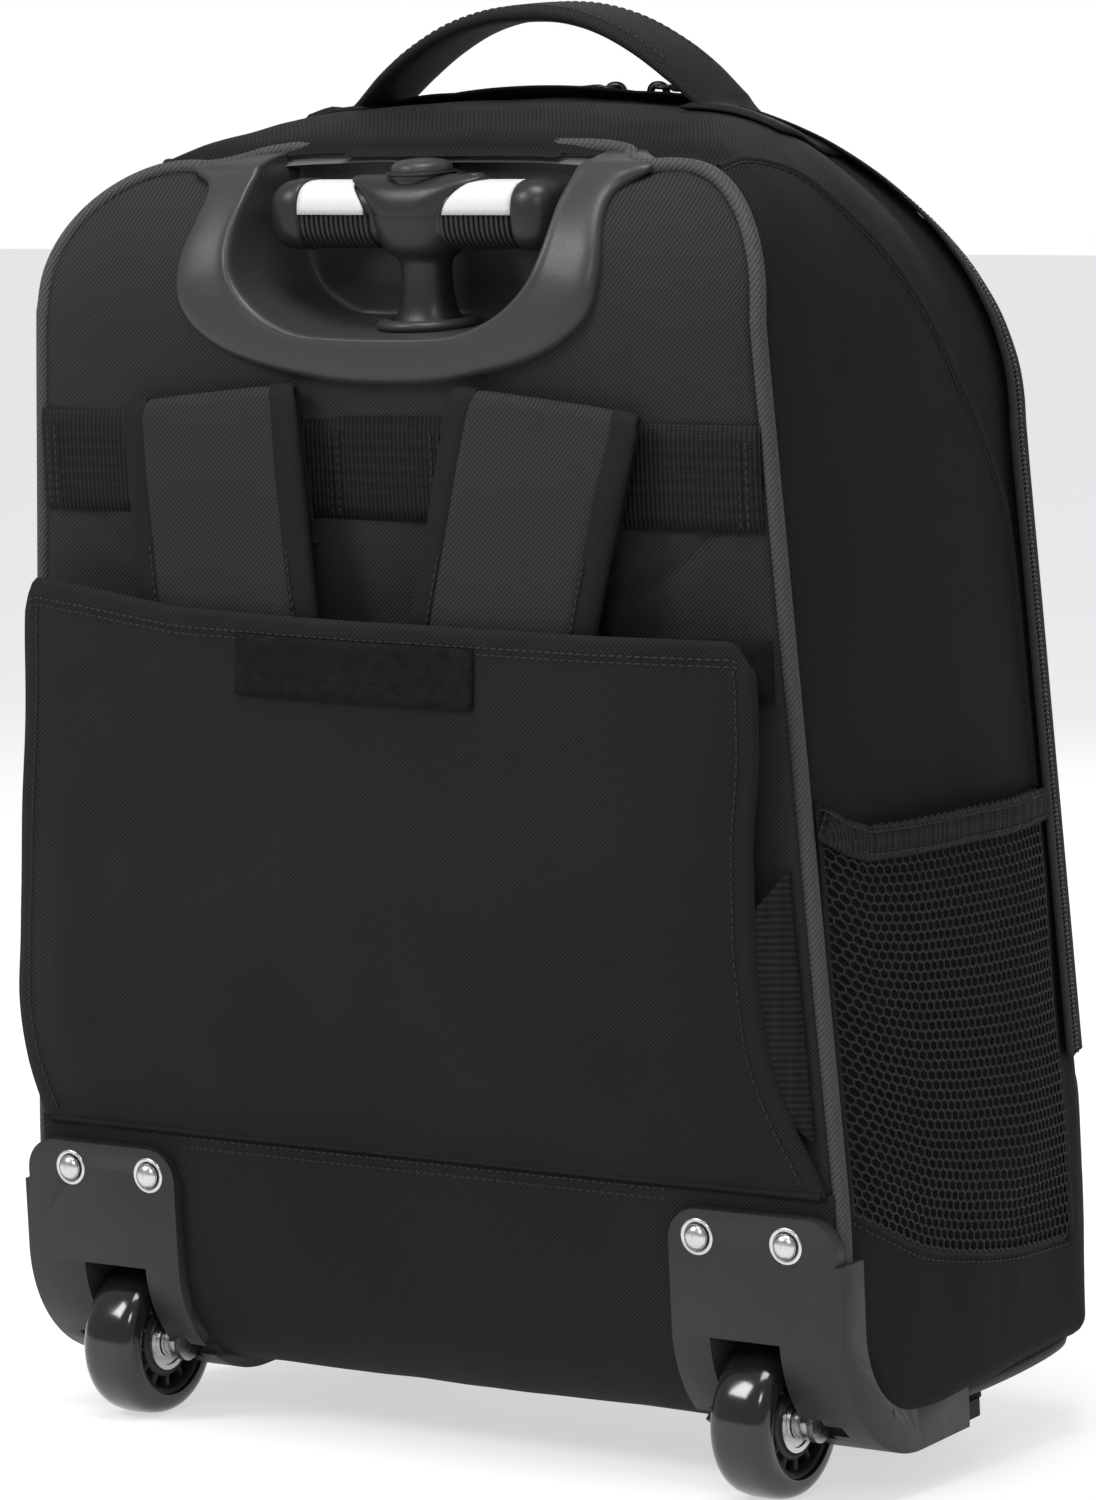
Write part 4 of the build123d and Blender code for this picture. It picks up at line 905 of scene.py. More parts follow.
PANEL_COLS, PANEL_ROWS = 81, 100
z_rows = np.linspace(SEAM_Z - 2, EDGE_TOP - 0.6, PANEL_ROWS)
s_cols = np.linspace(-1, 1, PANEL_COLS)
zz, ss = np.meshgrid(z_rows, s_cols, indexing="ij")
xx = ss * panel_half(zz, 2.6)
edge_gap = np.minimum(panel_half(zz, 2.6) - np.abs(xx), EDGE_TOP - zz)
pad_line = np.abs((zz - 326) - 42 * np.clip((np.abs(xx) - 95) / 60, 0, 1) ** 1.4 + 6)
pad_groove = np.exp(-((pad_line / 2.6) ** 2)) * (np.abs(xx) > 85) * (zz < 370)
lift = 1.9 * np.clip(edge_gap / 22, 0, 1) ** 0.5 - 1.6 - 2.0 * pad_groove
panel_grid = panel_point(xx, zz, lift)
panel_grid[..., 1] -= crease(panel_grid, 1.1, 2.0).reshape(zz.shape) * np.clip(edge_gap / 25, 0, 1)
back_panel = surface("back_pad", panel_grid)


def inside_cup(x, z, grow=0.0):
    """Whether a point of the back panel lies under the cup."""
    outline = np.array(CUP_OUTER)
    low_z = np.interp(abs(x), outline[:5, 0], outline[:5, 1])
    return abs(x) < 80 - grow and z > low_z + grow


def cut_away(obj, doomed):
    """Removes the faces whose middle (x, y, z) in the bag's frame is doomed."""
    with mesh_edit(obj.data) as data:
        gone = [face for face in data.faces if doomed(*to_bag(np.array(face.calc_center_median())))]
        bmesh.ops.delete(data, geom=gone, context="FACES")


def cut_for_cup(obj, grow, reach=40.0):
    """Removes the cloth behind the cup, back to a depth."""
    cut_away(obj, lambda x, y, z: inside_cup(x, z, grow) and y < reach)


cut_for_cup(back_panel, 5)
thicken(back_panel, 3.5)
finish_piece(back_panel, M["panel_fabric_painted_light"], "bag")
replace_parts(back_panel, "back_panel")
cut_for_cup(main_shell, 3, 31.0)

# piping round the panel, passing behind the cup
PIPE_R = 2.9
pipe_side = [(half_width(z) - 0.6, float(rear_face(z)) + 3.0, z) for z in (72, 90, 113, 180, 260, 340, 410)]
turn = np.linspace(0, math.pi / 2, 8)
corner_x = half_width(EDGE_TOP - 48) - 48
pipe_corner = [
    (corner_x + 48 * math.cos(a) - 0.6, float(rear_face(EDGE_TOP - 48 + 48 * math.sin(a))) + 3.0,
     EDGE_TOP - 48 + 48 * math.sin(a)) for a in turn
]
pipe_top = [(96, 18.4, 467.0), (90, 20, 467.5), (84, 26, 469), (78, 33, 471), (62, 36.6, 472.6),
            (30, 37.4, 473.2)]
right_half = [*pipe_side, *pipe_corner, *pipe_top]
pipe_route = [*right_half, (0, 37.6, 473.4), *[(-x, y, z) for x, y, z in right_half[::-1]]]
piping = sweep("edge_piping", spline(pipe_route, 420), round_section(PIPE_R, 14))
finish_piece(piping, M["piping"], "bag")
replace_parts(piping, "back_piping")
for side_name, s in (("right", 1), ("left", -1)):
    base_run = ((174, 34, 25.5), (174, 66, 24.5), (174, 110, 24), (172.5, 142, 25), (168, 154, 27.5))
    base_route = spline([(s * x, y, z) for x, y, z in base_run], 60)
    base_pipe = sweep(f"base_piping_{side_name}", base_route, round_section(2.4, 10))
    finish_piece(base_pipe, M["piping"], "bag")

# webbing across the panel
WEB_Z = (344.0, 381.0)
web_x = np.linspace(-156, 156, 120)
web_z = np.linspace(WEB_Z[0], WEB_Z[1], 9)
wz, wx = np.meshgrid(web_z, web_x, indexing="ij")
web_out = 2.5 + 0.35 * np.sin(wx / 17) + 0.9 * (1 - np.abs((wz - 362.5) / 18.5) ** 8) - 1.4
web_out = np.where(np.abs(wx) > 148, web_out - 1.4 * (np.abs(wx) - 148) / 8, web_out)
webbing = surface("panel_webbing", panel_point(wx, wz, web_out), 1.4)
finish_piece(webbing, M["webbing"], "bag")
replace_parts(webbing, "webbing_band")
for index, x in enumerate((-150, -22, 22, 150)):
    lines = [panel_point(np.full(9, x + dx), np.linspace(346, 379, 9), 2.6) for dx in (-1.6, 1.6)]
    rows = [stitches(f"web_stitch_{index}_{k}", line, (0, -1, 0), 3.0, 0.4, 0.1)
            for k, line in enumerate(lines)]
    finish_piece(joined(f"web_stitch_{index}", rows), M["thread"], "bag")

strips = []
for s in (-1, 1):
    sx = np.linspace(s * 51 if s > 0 else -158, 158 if s > 0 else -51, 40)
    sz = np.linspace(286, 307, 6)
    gz, gx = np.meshgrid(sz, sx, indexing="ij")
    strips.append(surface(f"hook_{s}", panel_point(gx, gz, 2.2), 1.6))
panel_hooks = finish_piece(joined("panel_hook_strips", strips), M["hook_and_loop"], "bag")
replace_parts(panel_hooks, "panel_hook_strip")

# ---------------------------------------------------------------- the kick panel under the seam
bend = np.linspace(0, math.pi / 2, 14)
kick_line = np.concatenate([
    np.stack([np.full(12, REAR_Y + 0.3), np.linspace(SEAM_Z + 1, 65, 12)], 1),
    np.stack([REAR_Y + 44 - 43.7 * np.cos(bend), 64 - 43.7 * np.sin(bend)], 1),
    np.stack([np.linspace(36, 84, 9)[1:], np.full(8, BOTTOM_Z + 0.3)], 1),
])
kick_s = np.linspace(-1, 1, 90)
ky = np.repeat(kick_line[:, :1], 90, 1)
kz = np.repeat(kick_line[:, 1:], 90, 1)
kx = kick_s[None] * np.full((len(kick_line), 1), 174.0)
kick_grid = np.stack([kx, ky, kz], -1)
kick_puff = (1.3 * (1 - np.abs(kick_s) ** 8))[None] + crease(kick_grid, 1.4, 7.0).reshape(kx.shape)
kick_out = np.gradient(kick_line, axis=0)[:, ::-1] * (1, -1)
kick_out /= np.linalg.norm(kick_out, axis=1)[:, None]
kick_fade = np.clip(np.arange(len(kick_line)) / 4, 0, 1)[:, None]
kick_grid[..., 1] += kick_out[:, :1] * kick_puff * kick_fade
kick_grid[..., 2] += kick_out[:, 1:] * kick_puff * kick_fade
WELL_HALF = 15.0


def cut_wells(obj):
    """Opens the cloth where the wheels sit in their wells."""
    cut_away(obj, lambda x, y, z: abs(abs(x) - WHEEL_X) < WELL_HALF + 2 and z < 62 and y < 34)


kick = surface("kick_cloth", kick_grid)
cut_wells(kick)
thicken(kick, 1.8, 0)
finish_piece(kick, M["black_fabric"], "bag")
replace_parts(kick, "kick_panel")
cut_wells(main_shell)

# ---------------------------------------------------------------- shoulder straps
STRAP_HALF = 38.5
# the binding's section at a strap's edge: out past the edge, and up from the strap's middle
STRAP_EDGE = [(0.7, -1.2), (0.9, 0.4), (-0.2, 2.2), (-5, 2.9), (-9.2, 3.1), (-9.6, 2.2), (-5, 1.5),
              (-1, -1.2)]
STRAP_LEG = [
    (-14.6, 335), (-14.4, 360), (-14.4, 378), (-14.9, 384), (-16.2, 387.5), (-18.3, 388), (-20.0, 385.5),
    (-20.8, 381), (-22.5, 370), (-26.0, 345), (-30.0, 318), (-31.2, 300), (-31.4, 240), (-31.4, 156),
]


def strap_ring(rows, s, section):
    """Strap surface points: rows are (y, z, ny, nz, thickness scale, width scale)."""
    y, z, ny, nz, thin, wide = (rows[:, k][:, None] for k in range(6))
    middle = s * np.interp(z, [311, 391], [59.5, 73.5])
    fall = -s * 0.11 * np.clip((z - 330) / 50, 0, 1)
    dx, out = section[None, :, 0] * wide, section[None, :, 1] * thin
    return np.stack([middle + dx, y + ny * out, z + nz * out + fall * dx * s * s], -1)


strap_line = spline(STRAP_LEG, 90)
run = tangents_of(strap_line)
strap_normal = np.stack([-run[:, 1], run[:, 0]], 1)
thinness = np.interp(strap_line[:, 1], [150, 360, 382], [1, 1, 0.5])
thinness = np.minimum(thinness, np.interp(np.arange(90), [0, 12, 26], [0.6, 0.6, 1]))
strap_width = np.interp(np.arange(90), [0, 12, 19], [0.84, 0.9, 1])
strap_rows = np.column_stack([strap_line, strap_normal, thinness, strap_width])
strap_rows = strap_rows if strap_normal[-1, 0] < 0 else strap_rows * (1, 1, -1, -1, 1, 1)
edge = np.linspace(0, math.pi, 7)
pad_x = np.linspace(-STRAP_HALF + 9.5, STRAP_HALF - 9.5, 15)
pad_out = 3.6 + 0.9 * (1 - np.abs(pad_x / 29) ** 4)
front_half = np.concatenate([
    [(-STRAP_HALF, 0.0), (-STRAP_HALF + 0.6, 1.3), (-STRAP_HALF + 5, 1.9), (-STRAP_HALF + 8.6, 2.1)],
    np.stack([pad_x, pad_out], 1),
    [(STRAP_HALF - 8.6, 2.1), (STRAP_HALF - 5, 1.9), (STRAP_HALF - 0.6, 1.3), (STRAP_HALF, 0.0)],
])
back_half = front_half[::-1][1:-1] * (1, -0.8)
strap_section_points = np.concatenate([front_half, back_half])
for side_name, s in SIDES:
    ring = strap_ring(strap_rows, s, strap_section_points)
    rows, cols = ring.shape[:2]
    ring[..., 1] -= crease(ring, 0.8, 3.0 + s).reshape(rows, cols)
    faces = grid_faces(rows, cols, False, True) + end_caps(rows, cols)
    strap = from_arrays(f"shoulder_strap_{side_name}", ring.reshape(-1, 3), faces)
    subdivide(strap)
    finish_piece(strap, M["panel_fabric_painted_light"], "bag")
    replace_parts(strap, f"shoulder_strap_{side_name}")
    for k, e in enumerate((-1, 1)):
        band = np.array([(e * (STRAP_HALF + out), up) for out, up in STRAP_EDGE])
        tape_ring = strap_ring(strap_rows, s, band)
        tape_ring[..., 1] -= crease(tape_ring, 0.8, 3.0 + s).reshape(tape_ring.shape[:2])
        r, c = tape_ring.shape[:2]
        tape_faces = grid_faces(r, c, False, True) + end_caps(r, c)
        tape = from_arrays(f"strap_binding_{side_name}_{k}", tape_ring.reshape(-1, 3), tape_faces)
        finish_piece(tape, M["binding"], "bag")
        line = strap_ring(strap_rows[34:], s, np.array([(e * (STRAP_HALF - 8.0), 3.0)]))[:, 0]
        sew(f"strap_thread_{side_name}_{k}", line, (0, -1, 0), 3.2, 0.42, 0.15)

# ---------------------------------------------------------------- the stow pocket's apron
APRON_Z = [113, 120, 134, 150, 165, 200, 240, 270, 300, 313]
APRON_FRONT = [-13.4, -19, -30, -37, -41, -43, -43, -42.6, -41.5, -40.5]
APRON_EDGE_Y = [-12.8, -14.5, -18, -20, -21.5, -23, -25, -26, -27, -27]
APRON_RIGHT = [172, 170.5, 165, 159.5, 156, 153, 154.5, 159, 160, 157]
APRON_LEFT = [-171, -172, -174, -175, -174.5, -169, -163, -159, -156, -154]


def apron_at(s, z):
    """The apron's outer face: s from -1 (left edge) to 1 (right edge), at height z."""
    right, left = np.interp(z, APRON_Z, APRON_RIGHT), np.interp(z, APRON_Z, APRON_LEFT)
    x = (left + right) / 2 + s * (right - left) / 2
    edge_y, front_y = np.interp(z, APRON_Z, APRON_EDGE_Y), np.interp(z, APRON_Z, APRON_FRONT)
    y = edge_y + (front_y - edge_y) * (1 - np.abs(s) ** 3.4)
    return np.stack([x, y, z], -1)


def apron_top(x):
    """Height of the apron's upper edge."""
    return np.interp(x, [-150, -122, -77, -19, 54, 113, 159], [321, 319, 314, 312, 311, 310, 308.5])


AP_ROWS, AP_COLS = 70, 110
ap_s = np.linspace(-1, 1, AP_COLS)
ap_t = np.linspace(0, 1, AP_ROWS)
tt, sa = np.meshgrid(ap_t, ap_s, indexing="ij")
smooth_z = SEAM_Z + tt * 200
apron_grid = apron_at(sa, smooth_z)
for _ in range(6):
    apron_grid[1:-1] = (apron_grid[:-2] + 2 * apron_grid[1:-1] + apron_grid[2:]) / 4
stretch = (apron_top(apron_grid[-1, :, 0]) - 313)[None] * np.clip((tt - 0.35) / 0.65, 0, 1) ** 1.5
corner_drop = 7 * np.clip((np.abs(sa) - 0.955) / 0.045, 0, 1) ** 2 * np.clip((tt - 0.94) / 0.06, 0, 1)
apron_grid[..., 2] += stretch - corner_drop
free = np.clip(tt / 0.2, 0, 1)
apron_grid[..., 1] -= crease(apron_grid, 2.2, 11.0).reshape(tt.shape) * free
fold = np.exp(-(((sa - 0.82) / 0.1) ** 2)) * np.exp(-(((tt - 0.28) / 0.22) ** 2))
fold += np.exp(-(((sa + 0.84) / 0.1) ** 2)) * np.exp(-(((tt - 0.3) / 0.25) ** 2))
apron_grid[..., 1] -= 2.2 * fold
hem = np.clip(1 - (1 - tt) / 0.045, 0, 1) ** 0.3
side_hem = np.clip(1 - (1 - np.abs(sa)) / 0.05, 0, 1) ** 0.3
apron_grid[..., 1] -= 0.55 * np.maximum(hem, side_hem)
apron = surface("stow_apron", apron_grid, 1.5)
finish_piece(apron, M["black_fabric"], "stow_apron")
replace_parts(apron, "apron")


def on_apron(s, z, lift):
    """A point just off the apron's face."""
    row = np.clip((z - SEAM_Z) / (apron_grid[-1, :, 2].mean() - SEAM_Z) * (AP_ROWS - 1), 0, AP_ROWS - 1.001)
    col = np.clip((s + 1) / 2 * (AP_COLS - 1), 0, AP_COLS - 1.001)
    i, j = int(row), int(col)
    a, b = row - i, col - j
    cell = apron_grid[i : i + 2, j : j + 2]
    p = cell[0, 0] * (1 - a) * (1 - b) + cell[1, 0] * a * (1 - b)
    p = p + cell[0, 1] * (1 - a) * b + cell[1, 1] * a * b
    return p + np.array([0, -lift, 0])


apron_rows = {
    "top": [on_apron(s, 306.0, 0.3) for s in np.linspace(-0.985, 0.985, 60)],
    "top_two": [on_apron(s, 303.5, 0.1) for s in np.linspace(-0.985, 0.985, 60)],
    "right": [on_apron(0.955, z, 0.3) for z in np.linspace(118, 305, 40)],
    "left": [on_apron(-0.955, z, 0.3) for z in np.linspace(118, 305, 40)],
}
for row_name, row in apron_rows.items():
    sew(f"apron_thread_{row_name}", row, (0, -1, 0), 3.2, 0.42, 0.12, "stow_apron")
for k, z in enumerate((SEAM_Z - 2.5, SEAM_Z - 6.0)):
    line = np.array([(x, REAR_Y - 1.1, z) for x in np.linspace(-108, 108, 40)])
    sew(f"seam_thread_{k}", line, (0, -1, 0), 3.2, 0.45, 0.2)
fold_line = np.array([(x, REAR_Y - 1.4, SEAM_Z + 0.6) for x in np.linspace(-170, 170, 80)])
seam_fold = sweep("apron_seam_roll", fold_line, round_section(1.5, 10))
finish_piece(seam_fold, M["black_fabric"], "bag")

loop_x = np.linspace(-53.5, 53.5, 40) / 165
loop_z = np.linspace(285, 307, 8)
loop_grid = np.array([[on_apron(s, z - 1.5, 1.3) for s in loop_x] for z in loop_z])
loop_strip = surface("apron_loop_strip_pile", loop_grid, 1.2)
finish_piece(loop_strip, M["hook_and_loop"], "stow_apron")
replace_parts(loop_strip, "apron_loop_strip")

# elastic gussets between the apron's sides and the panel
for side_name, s in SIDES:
    z_bag, z_out = np.linspace(131, 228, 26), np.linspace(140, 214, 26)
    on_bag = np.stack([s * (half_width(z_bag) - 7), np.full(26, REAR_Y - 0.6), z_bag], 1)
    out_edge = np.array([on_apron(s * 0.985, z, -1.4) for z in z_out])
    across = np.linspace(0, 1, 14)[None, :, None]
    web = on_bag[:, None] * (1 - across) + out_edge[:, None] * across
    slack = 4.0 * np.sin(math.pi * across[..., 0]) * np.sin(np.linspace(0.3, math.pi - 0.3, 26))[:, None]
    web[..., 0] += s * slack * 0.4
    web[..., 1] += 0.5 * np.sin(np.linspace(0, 16 * math.pi, 26))[:, None] * np.sin(math.pi * across[..., 0])
    gusset = surface(f"apron_gusset_{side_name}", web, 1.2)
    finish_piece(gusset, M["gusset"], None)
    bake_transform(gusset)
    if s > 0:
        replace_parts(gusset, "apron_gussets")

# ---------------------------------------------------------------- side mesh pockets
def side_point(y, z, s, lift):
    """The body's side at (y, z), lifted outward."""
    start = Vector((s * 400, float(y), float(z)))
    spot, normal, _, _ = body_tree.ray_cast(start, Vector((-s, 0, 0)))
    if normal.x * s < 0:
        normal = -normal
    return np.array(spot + normal * float(lift))


def pocket_low(y):
    """Bottom seam of the mesh pocket."""
    return np.interp(y, [-3, 14, 36, 60, 94, 125, 147], [106, 97, 86, 79, 72, 68, 66])


def pocket_high(y):
    """Top edge of the mesh pocket."""
    return np.interp(y, [-3, 5, 15, 40, 70, 110, 147], [249, 243, 239, 237, 235.5, 233.5, 231.5])


NET_Y = np.linspace(-2.5, 147.0, 26)
NET_T = np.linspace(0, 1, 22)
CELL = 4.3
for side_name, s in SIDES:
    sheet_grid = np.empty((len(NET_T), len(NET_Y), 3))
    for i, t in enumerate(NET_T):
        for j, y in enumerate(NET_Y):
            z = pocket_low(y) * (1 - t) + pocket_high(y) * t
            mid = math.sin(math.pi * j / (len(NET_Y) - 1)) ** 0.55
            bulge = 1.0 + 6.6 * mid * math.sin(math.pi * (0.12 + 0.62 * t)) ** 0.8 * min(1, 6 * t)
            sheet_grid[i, j] = side_point(min(y, 146), z, s, bulge)

    def net_at(u, v):
        """A net point from u (mm along y) and v (0 to 1 up the pocket)."""
        col = np.clip(u / (NET_Y[-1] - NET_Y[0]) * (len(NET_Y) - 1), 0, len(NET_Y) - 1.001)
        row = np.clip(v * (len(NET_T) - 1), 0, len(NET_T) - 1.001)
        i, j = row.astype(int), col.astype(int)
        a, b = (row - i)[:, None], (col - j)[:, None]
        return (
            sheet_grid[i, j] * (1 - a) * (1 - b) + sheet_grid[i + 1, j] * a * (1 - b)
            + sheet_grid[i, j + 1] * (1 - a) * b + sheet_grid[i + 1, j + 1] * a * b
        )

    width, height = NET_Y[-1] - NET_Y[0], 160.0
    across_count, up_count = int(width / CELL), int(height / (CELL * 0.86))
    nodes, edges = {}, []

    def net_node(u, v):
        """Index of a net vertex, made once."""
        key = (round(u * 20), round(v * 20))
        return nodes.setdefault(key, (len(nodes), u, v))[0]

    arm = CELL / math.sqrt(3)
    for row in range(up_count):
        for col in range(across_count):
            cu = (col + 0.5 * (row % 2)) * CELL + CELL / 2
            cv = row * arm * 1.5 + arm
            ring_ids = [net_node(cu + arm * math.sin(k * math.pi / 3), cv + arm * math.cos(k * math.pi / 3))
                        for k in range(6)]
            edges += [tuple(sorted((ring_ids[k], ring_ids[(k + 1) % 6]))) for k in range(6)]
    table = np.array([(u, v) for _, u, v in nodes.values()])
    top_v = table[:, 1].max()
    spots = net_at(np.clip(table[:, 0], 0, width), np.clip(table[:, 1] / top_v, 0, 1))
    pairs = np.array(sorted(set(edges)))
    a, b = spots[pairs[:, 0]], spots[pairs[:, 1]]
    along = b - a
    size = np.linalg.norm(along, axis=1)
    keep = size > 0.8
    a, b, along = a[keep], b[keep], along[keep] / size[keep][:, None]
    out = np.tile((s * 1.0, 0, 0), (len(a), 1))
    cross = np.cross(along, out)
    cross /= np.linalg.norm(cross, axis=1)[:, None]
    out = np.cross(cross, along)
    corners = [(0.62, 0), (0, 0.5), (-0.62, 0), (0, -0.5)]
    net_points = np.stack([p + cross * cx + out * co for p in (a - along * 0.3, b + along * 0.3)
                           for cx, co in corners], 1)
    first = np.arange(len(a))[:, None] * 8
    net_faces = np.concatenate([first + np.array([k, (k + 1) % 4, 4 + (k + 1) % 4, 4 + k]) for k in range(4)])
    net = from_arrays(f"mesh_net_{side_name}", net_points.reshape(-1, 3), net_faces)
    finish_piece(net, M["mesh"], "bag")
    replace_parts(net, f"mesh_pocket_{side_name}")

    band_y = np.linspace(-3.5, 147, 110)
    band_path = np.array([
        side_point(max(y, -2.5), pocket_high(y) - 6, s,
                   2.2 + 5.6 * math.sin(math.pi * np.clip((y + 3.5) / 150, 0.02, 0.98)) ** 0.6
                   + 0.35 * math.sin(y * 1.9)) for y in band_y
    ])
    band_normals = np.tile((s * 1.0, 0, 0.0), (len(band_path), 1))
    band = strip(f"pocket_band_{side_name}", band_path, band_normals, 12.5, 1.4, 9, 0.4)
    finish_piece(band, M["elastic"], "bag")
    if s > 0:
        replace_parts(band, "pocket_elastics")
    for k, drop in enumerate((4.2, -3.6)):
        row = band_path + band_normals * 1.9 + np.array([0, 0, drop])
        sew(f"band_thread_{side_name}_{k}", row, band_normals[0], 3.0, 0.4, 0.1)
    for k, y0 in enumerate((-3.0, 147.5)):
        edge_z = np.linspace(pocket_low(y0) - 2, pocket_high(y0) + 1, 50)
        edge_path = np.array([side_point(np.clip(y0, -2.5, 146.5), z, s, 0.6) for z in edge_z])
        edge_out = np.tile((s * 1.0, 0, 0), (50, 1))
        edge_tape = strip(f"pocket_edge_{side_name}_{k}", edge_path, edge_out, 4.5, 0.8, 6)
        finish_piece(edge_tape, M["binding"], "bag")

# ---------------------------------------------------------------- handle cup
CUP_BACK_Y = 36.0


CUP_STEPS = 70


def cup_ring(points):
    """A right-half rim of (x, y, z) points, mirrored into a full rim from left top to right top."""
    right = np.asarray(points, float)
    left = right[:0:-1] * (-1, 1, 1)
    return spline(np.concatenate([left, right]), CUP_STEPS * 2 + 1)


def rim_at(x, z, back=None):
    """A rim point on the panel's face, or further back over the top edge."""
    return (x, float(rear_face(z)) if back is None else back, z)


outer_rim = cup_ring([
    rim_at(0, 392.5), rim_at(24, 393.5), rim_at(46, 397), rim_at(66, 402.5), rim_at(80, 410), rim_at(88, 418),
    rim_at(91, 427), rim_at(91, 437), rim_at(88.5, 447), rim_at(87.5, 455), rim_at(90, 461),
    rim_at(99, 466.3, 14.5), (97, 22, 468.4), (89, 30, 470.4), (84, 36, 471.5),
])
inner_rim = cup_ring([
    rim_at(0, 409.5), rim_at(20, 409.8), rim_at(34, 411), rim_at(48, 416), rim_at(58, 423), rim_at(64, 430),
    rim_at(67, 438), rim_at(68, 446), rim_at(68, 453), rim_at(68.5, 459), rim_at(68.5, 463),
    (69, 15, 466), (70, 22, 468.4), (70, 29, 470), (70, 36, 471),
])
rim_height = np.interp(np.abs(np.linspace(-1, 1, len(outer_rim))), [0, 0.55, 0.78, 1], [1.0, 0.92, 0.5, 0.14])
rim_out = np.zeros_like(outer_rim)
slope = np.clip((outer_rim[:, 2] - CURL_Z) / CURL_R, 0, 0.99)
rim_out[:, 1], rim_out[:, 2] = -np.sqrt(1 - slope**2), slope
BEZEL = [
    (0.0, -2.4), (0.0, 1.6), (0.015, 2.8), (0.05, 4.2), (0.12, 5.5), (0.24, 6.3), (0.5, 6.5), (0.78, 6.2),
    (0.84, 6.3), (0.9, 6.9), (0.95, 6.7), (0.985, 5.6), (1.0, 3.6), (1.0, -1.0),
]
bezel_rings = [outer_rim + (inner_rim - outer_rim) * s + rim_out * (h * rim_height)[:, None]
               for s, h in BEZEL]
depth_steps = np.linspace(0, 1, 9)[1:]
inner_low = inner_rim - rim_out * 1.0
tub_edge = inner_low.copy()
tub_edge[:, 1] = CUP_BACK_Y
tub_edge[:, 0] *= 0.97
tub_edge[:, 2] = np.maximum(tub_edge[:, 2], 413)
wall_rings = [inner_low + (tub_edge - inner_low) * (1 - math.cos(t * math.pi / 2)) * (1, 0, 1)
              + (tub_edge - inner_low) * math.sin(t * math.pi / 2) * (0, 1, 0) for t in depth_steps]
back_rings = []
for t in (0.25, 0.5, 0.75, 1.0):
    ring = tub_edge.copy()
    ring[:, 0] *= 1 - t * 0.999
    ring[:, 2] = ring[:, 2] * (1 - t) + np.maximum(ring[:, 2], 468) * t
    back_rings.append(ring)
cup_grid = np.array(bezel_rings + wall_rings + back_rings)
bosses = 7.0 * np.exp(-(((np.abs(cup_grid[..., 0]) - 40) / 17) ** 2) - ((cup_grid[..., 2] - 424) / 13) ** 2)
inside = (np.arange(len(cup_grid)) >= len(bezel_rings))[:, None]
cup_grid[..., 1] -= bosses * inside
STEM_HOLE = 13.3


def pierce(obj, y, top, radius):
    """Opens a round hole about (0, y) in the part of a sheet that lies below a height."""
    with mesh_edit(obj.data) as data:
        spots = {v: to_bag(np.array(v.co)) for v in data.verts}
        inner = {v for v, p in spots.items() if p[2] < top and math.hypot(p[0], p[1] - y) < radius}
        rim = {v for w in inner for f in w.link_faces for v in f.verts} - inner
        for v in rim:
            px, py, pz = spots[v]
            scale = radius / math.hypot(px, py - y)
            v.co = Vector(place(px * scale, y + (py - y) * scale, pz))
        bmesh.ops.delete(data, geom=list(inner), context="VERTS")


cup = surface("handle_cup_shell", cup_grid)
subdivide(cup)
pierce(cup, POST_Y, 425, STEM_HOLE)
thicken(cup, 2.0)

LIP = [(-80, 33, 469.6), (-60, 34.6, 470), (0, 35.2, 470), (60, 34.6, 470), (80, 33, 469.6)]
rear_lip = sweep("cup_rear_lip", spline(LIP, 60), strap_section(3.6, 3.0), (0, 0, 1))
subdivide(rear_lip)
COLLAR = [(409.7, 13.2), (409.8, 18.4), (411.6, 18.9), (413.0, 18.0), (413.6, 15.6), (413.2, 13.5),
          (409.7, 13.2)]
collar = lathe("stem_collar", COLLAR, (0, POST_Y, 0), "z", 64)
cup_parts = joined("handle_cup_piece", [cup, rear_lip, collar])
finish_piece(cup_parts, M["cup_plastic"], "bag")
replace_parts(cup_parts, "handle_cup")

# ---------------------------------------------------------------- the grip
def squircle(half_x, half_y, power=2.6, sides=48):
    """A rounded-rectangle ring as (x, y) points."""
    turn = np.linspace(0, 2 * math.pi, sides, endpoint=False)
    c, s = np.cos(turn), np.sin(turn)
    return np.stack([half_x * np.sign(c) * np.abs(c) ** (2 / power),
                     half_y * np.sign(s) * np.abs(s) ** (2 / power)], 1)


GRIP_SIDES = 48


def along_x(name, stations):
    """A body lofted along x: stations are (x, half depth, half height)."""
    rings = []
    for x, half_y, half_z in stations:
        ring = squircle(half_y, half_z, 2.7, GRIP_SIDES)
        rings.append(np.stack([np.full(GRIP_SIDES, x), GRIP_Y + ring[:, 0], GRIP_Z + ring[:, 1]], 1))
    faces = grid_faces(len(rings), GRIP_SIDES, False, True) + end_caps(len(rings), GRIP_SIDES)
    return from_arrays(name, np.concatenate(rings), faces)


